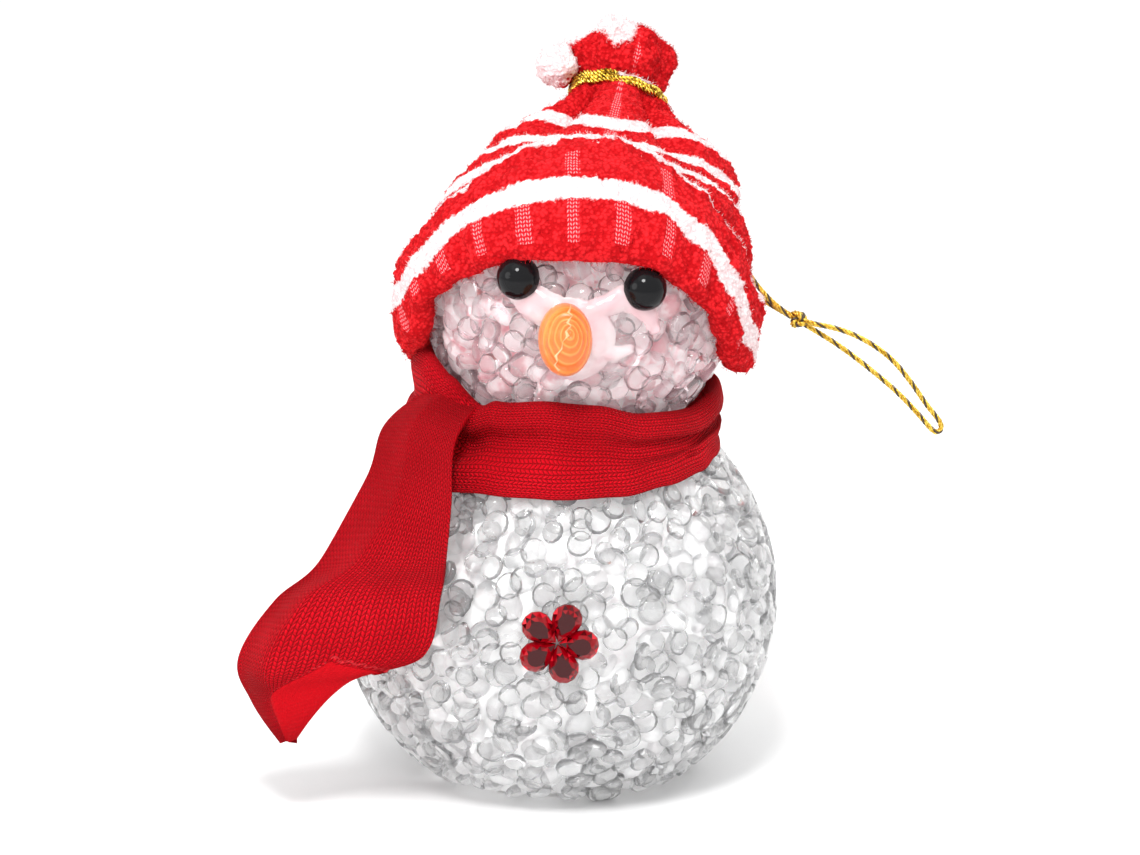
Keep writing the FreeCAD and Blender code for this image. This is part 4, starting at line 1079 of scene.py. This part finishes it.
# The resin is deep red. Each facet's brightness is painted from its glint mark: the darkest facets carry painted
# shade and the brightest carry painted glints.
glint = ruby.share_of("glint")
painted_facet_shade = ruby.mix(ruby.step(glint, 0.0, 0.45), (0.03, 0.0, 0.001), (0.26, 0.0, 0.004))
ruby.wear(Base_Color=ruby.mix(ruby.step(glint, 0.75, 1.0), painted_facet_shade, (0.75, 0.015, 0.03)))
ruby.wear(Roughness=ruby.add(0.04, ruby.times(ruby.noise(900, 3), 0.06)))
ruby.coat(flower)
fix(flower, "flower_red", "flower_gem")


# Base: moulded white plastic housing with its screwed cover, slide switch, button cells,
# steel contacts, board, lamp and leads. A ring of glue holds it in the body's foot opening.
def plain_finish(name, low, high, roughness, size, depth, nodes, **sockets):
    """A finish with two close shades in fine patches and a slight relief."""
    finish = Finish(name, low, roughness, **sockets)
    patches = finish.noise(size, 4)
    finish.wear(Base_Color=finish.mix(finish.step(patches, 0.3, 0.7), low, high))
    finish.wear(Roughness=finish.add(roughness - 0.05, finish.times(patches, 0.12)))
    finish.relief(patches, depth * MM, 0.5)
    finish.coat(*(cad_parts[node] for node in nodes))


plain_finish("moulded_white", (0.8, 0.8, 0.79), (0.86, 0.86, 0.85), 0.4, 900, 0.05, ("base_housing", "battery_cover"))
plain_finish("screw_steel", (0.45, 0.44, 0.42), (0.6, 0.59, 0.57), 0.3, 1500, 0.04, ("cover_screw",), Metallic=1.0)
CELLS = ("button_cell_1", "button_cell_2", "button_cell_3")
BARE_METAL = ("positive_contact", "negative_contact", "switch_terminals", "lamp_legs")
plain_finish("cell_steel", (0.62, 0.62, 0.6), (0.75, 0.75, 0.73), 0.25, 700, 0.03, CELLS, Metallic=1.0)
plain_finish("contact_metal", (0.7, 0.66, 0.55), (0.82, 0.79, 0.7), 0.28, 1100, 0.03, BARE_METAL, Metallic=1.0)
plain_finish("switch_shell", (0.5, 0.5, 0.49), (0.62, 0.62, 0.6), 0.32, 1100, 0.03, ("switch_case",), Metallic=0.9)
plain_finish("switch_black", (0.015, 0.015, 0.016), (0.03, 0.03, 0.032), 0.45, 1300, 0.05, ("switch_knob",))
plain_finish("board_green", (0.02, 0.16, 0.06), (0.03, 0.22, 0.09), 0.4, 1000, 0.03, ("circuit_board",))
plain_finish(
    "lamp_clear", (0.93, 0.94, 0.96), (0.97, 0.98, 1.0), 0.1, 500, 0.02, ("lamp_lens",),
    Transmission_Weight=0.8, IOR=1.5,
)
for colour, low, high in (
    ("red", (0.45, 0.01, 0.01), (0.6, 0.02, 0.02)),
    ("blue", (0.01, 0.05, 0.4), (0.02, 0.09, 0.55)),
    ("black", (0.012, 0.012, 0.012), (0.03, 0.03, 0.03)),
):
    plain_finish(colour + "_lead", low, high, 0.45, 900, 0.03, (colour + "_wire",))


# Floor, soft light and camera: a white table in a bright room. The floor is only a stage,
# and the lamps and the camera aren't part of the ornament.
floor = new_piece("floor", [(-3, -3, 0), (3, -3, 0), (3, 3, 0), (-3, 3, 0)], [(0, 1, 2, 3)])
table = Finish("white_table", (0.93, 0.93, 0.93), 0.6)
table.coat(floor)
world = bpy.data.worlds.new("bright_room")
world.use_nodes = True
world.node_tree.nodes["Background"].inputs[0].default_value = (1, 1, 1, 1)
world.node_tree.nodes["Background"].inputs[1].default_value = 1.0
bpy.context.scene.world = world


def lamp(name, place, aim, size, power):
    light = bpy.data.lights.new(name, "AREA")
    light.shape = "DISK"
    light.size = size
    light.energy = power
    item = bpy.data.objects.new(name, light)
    item.location = place
    item.rotation_euler = (Vector(aim) - Vector(place)).to_track_quat("-Z", "Y").to_euler()
    bpy.context.scene.collection.objects.link(item)


lamp("soft_top", (-0.15, -0.25, 0.75), (0, 0, 0.05), 0.5, 0.4)
lamp("soft_left", (-0.6, -0.35, 0.3), (0, 0, 0.05), 0.4, 1.0)
lamp("small_window", (-0.05, -0.3, 0.5), (0, 0, 0.07), 0.15, 1.9)
lamp("soft_back", (0.5, 0.5, 0.5), (0, 0, 0.05), 0.4, 1.4)

camera_data = bpy.data.cameras.new("camera")
camera_data.sensor_width = 36
camera_data.lens = 127.67
camera = bpy.data.objects.new("camera", camera_data)
camera.location = (0.0017809, -0.574739, 0.200008)
camera.rotation_euler = (radians(75.5), 0, 0)
camera_data.clip_start = 0.01
bpy.context.scene.collection.objects.link(camera)
bpy.context.scene.camera = camera
bpy.context.scene.view_settings.view_transform = "Standard"
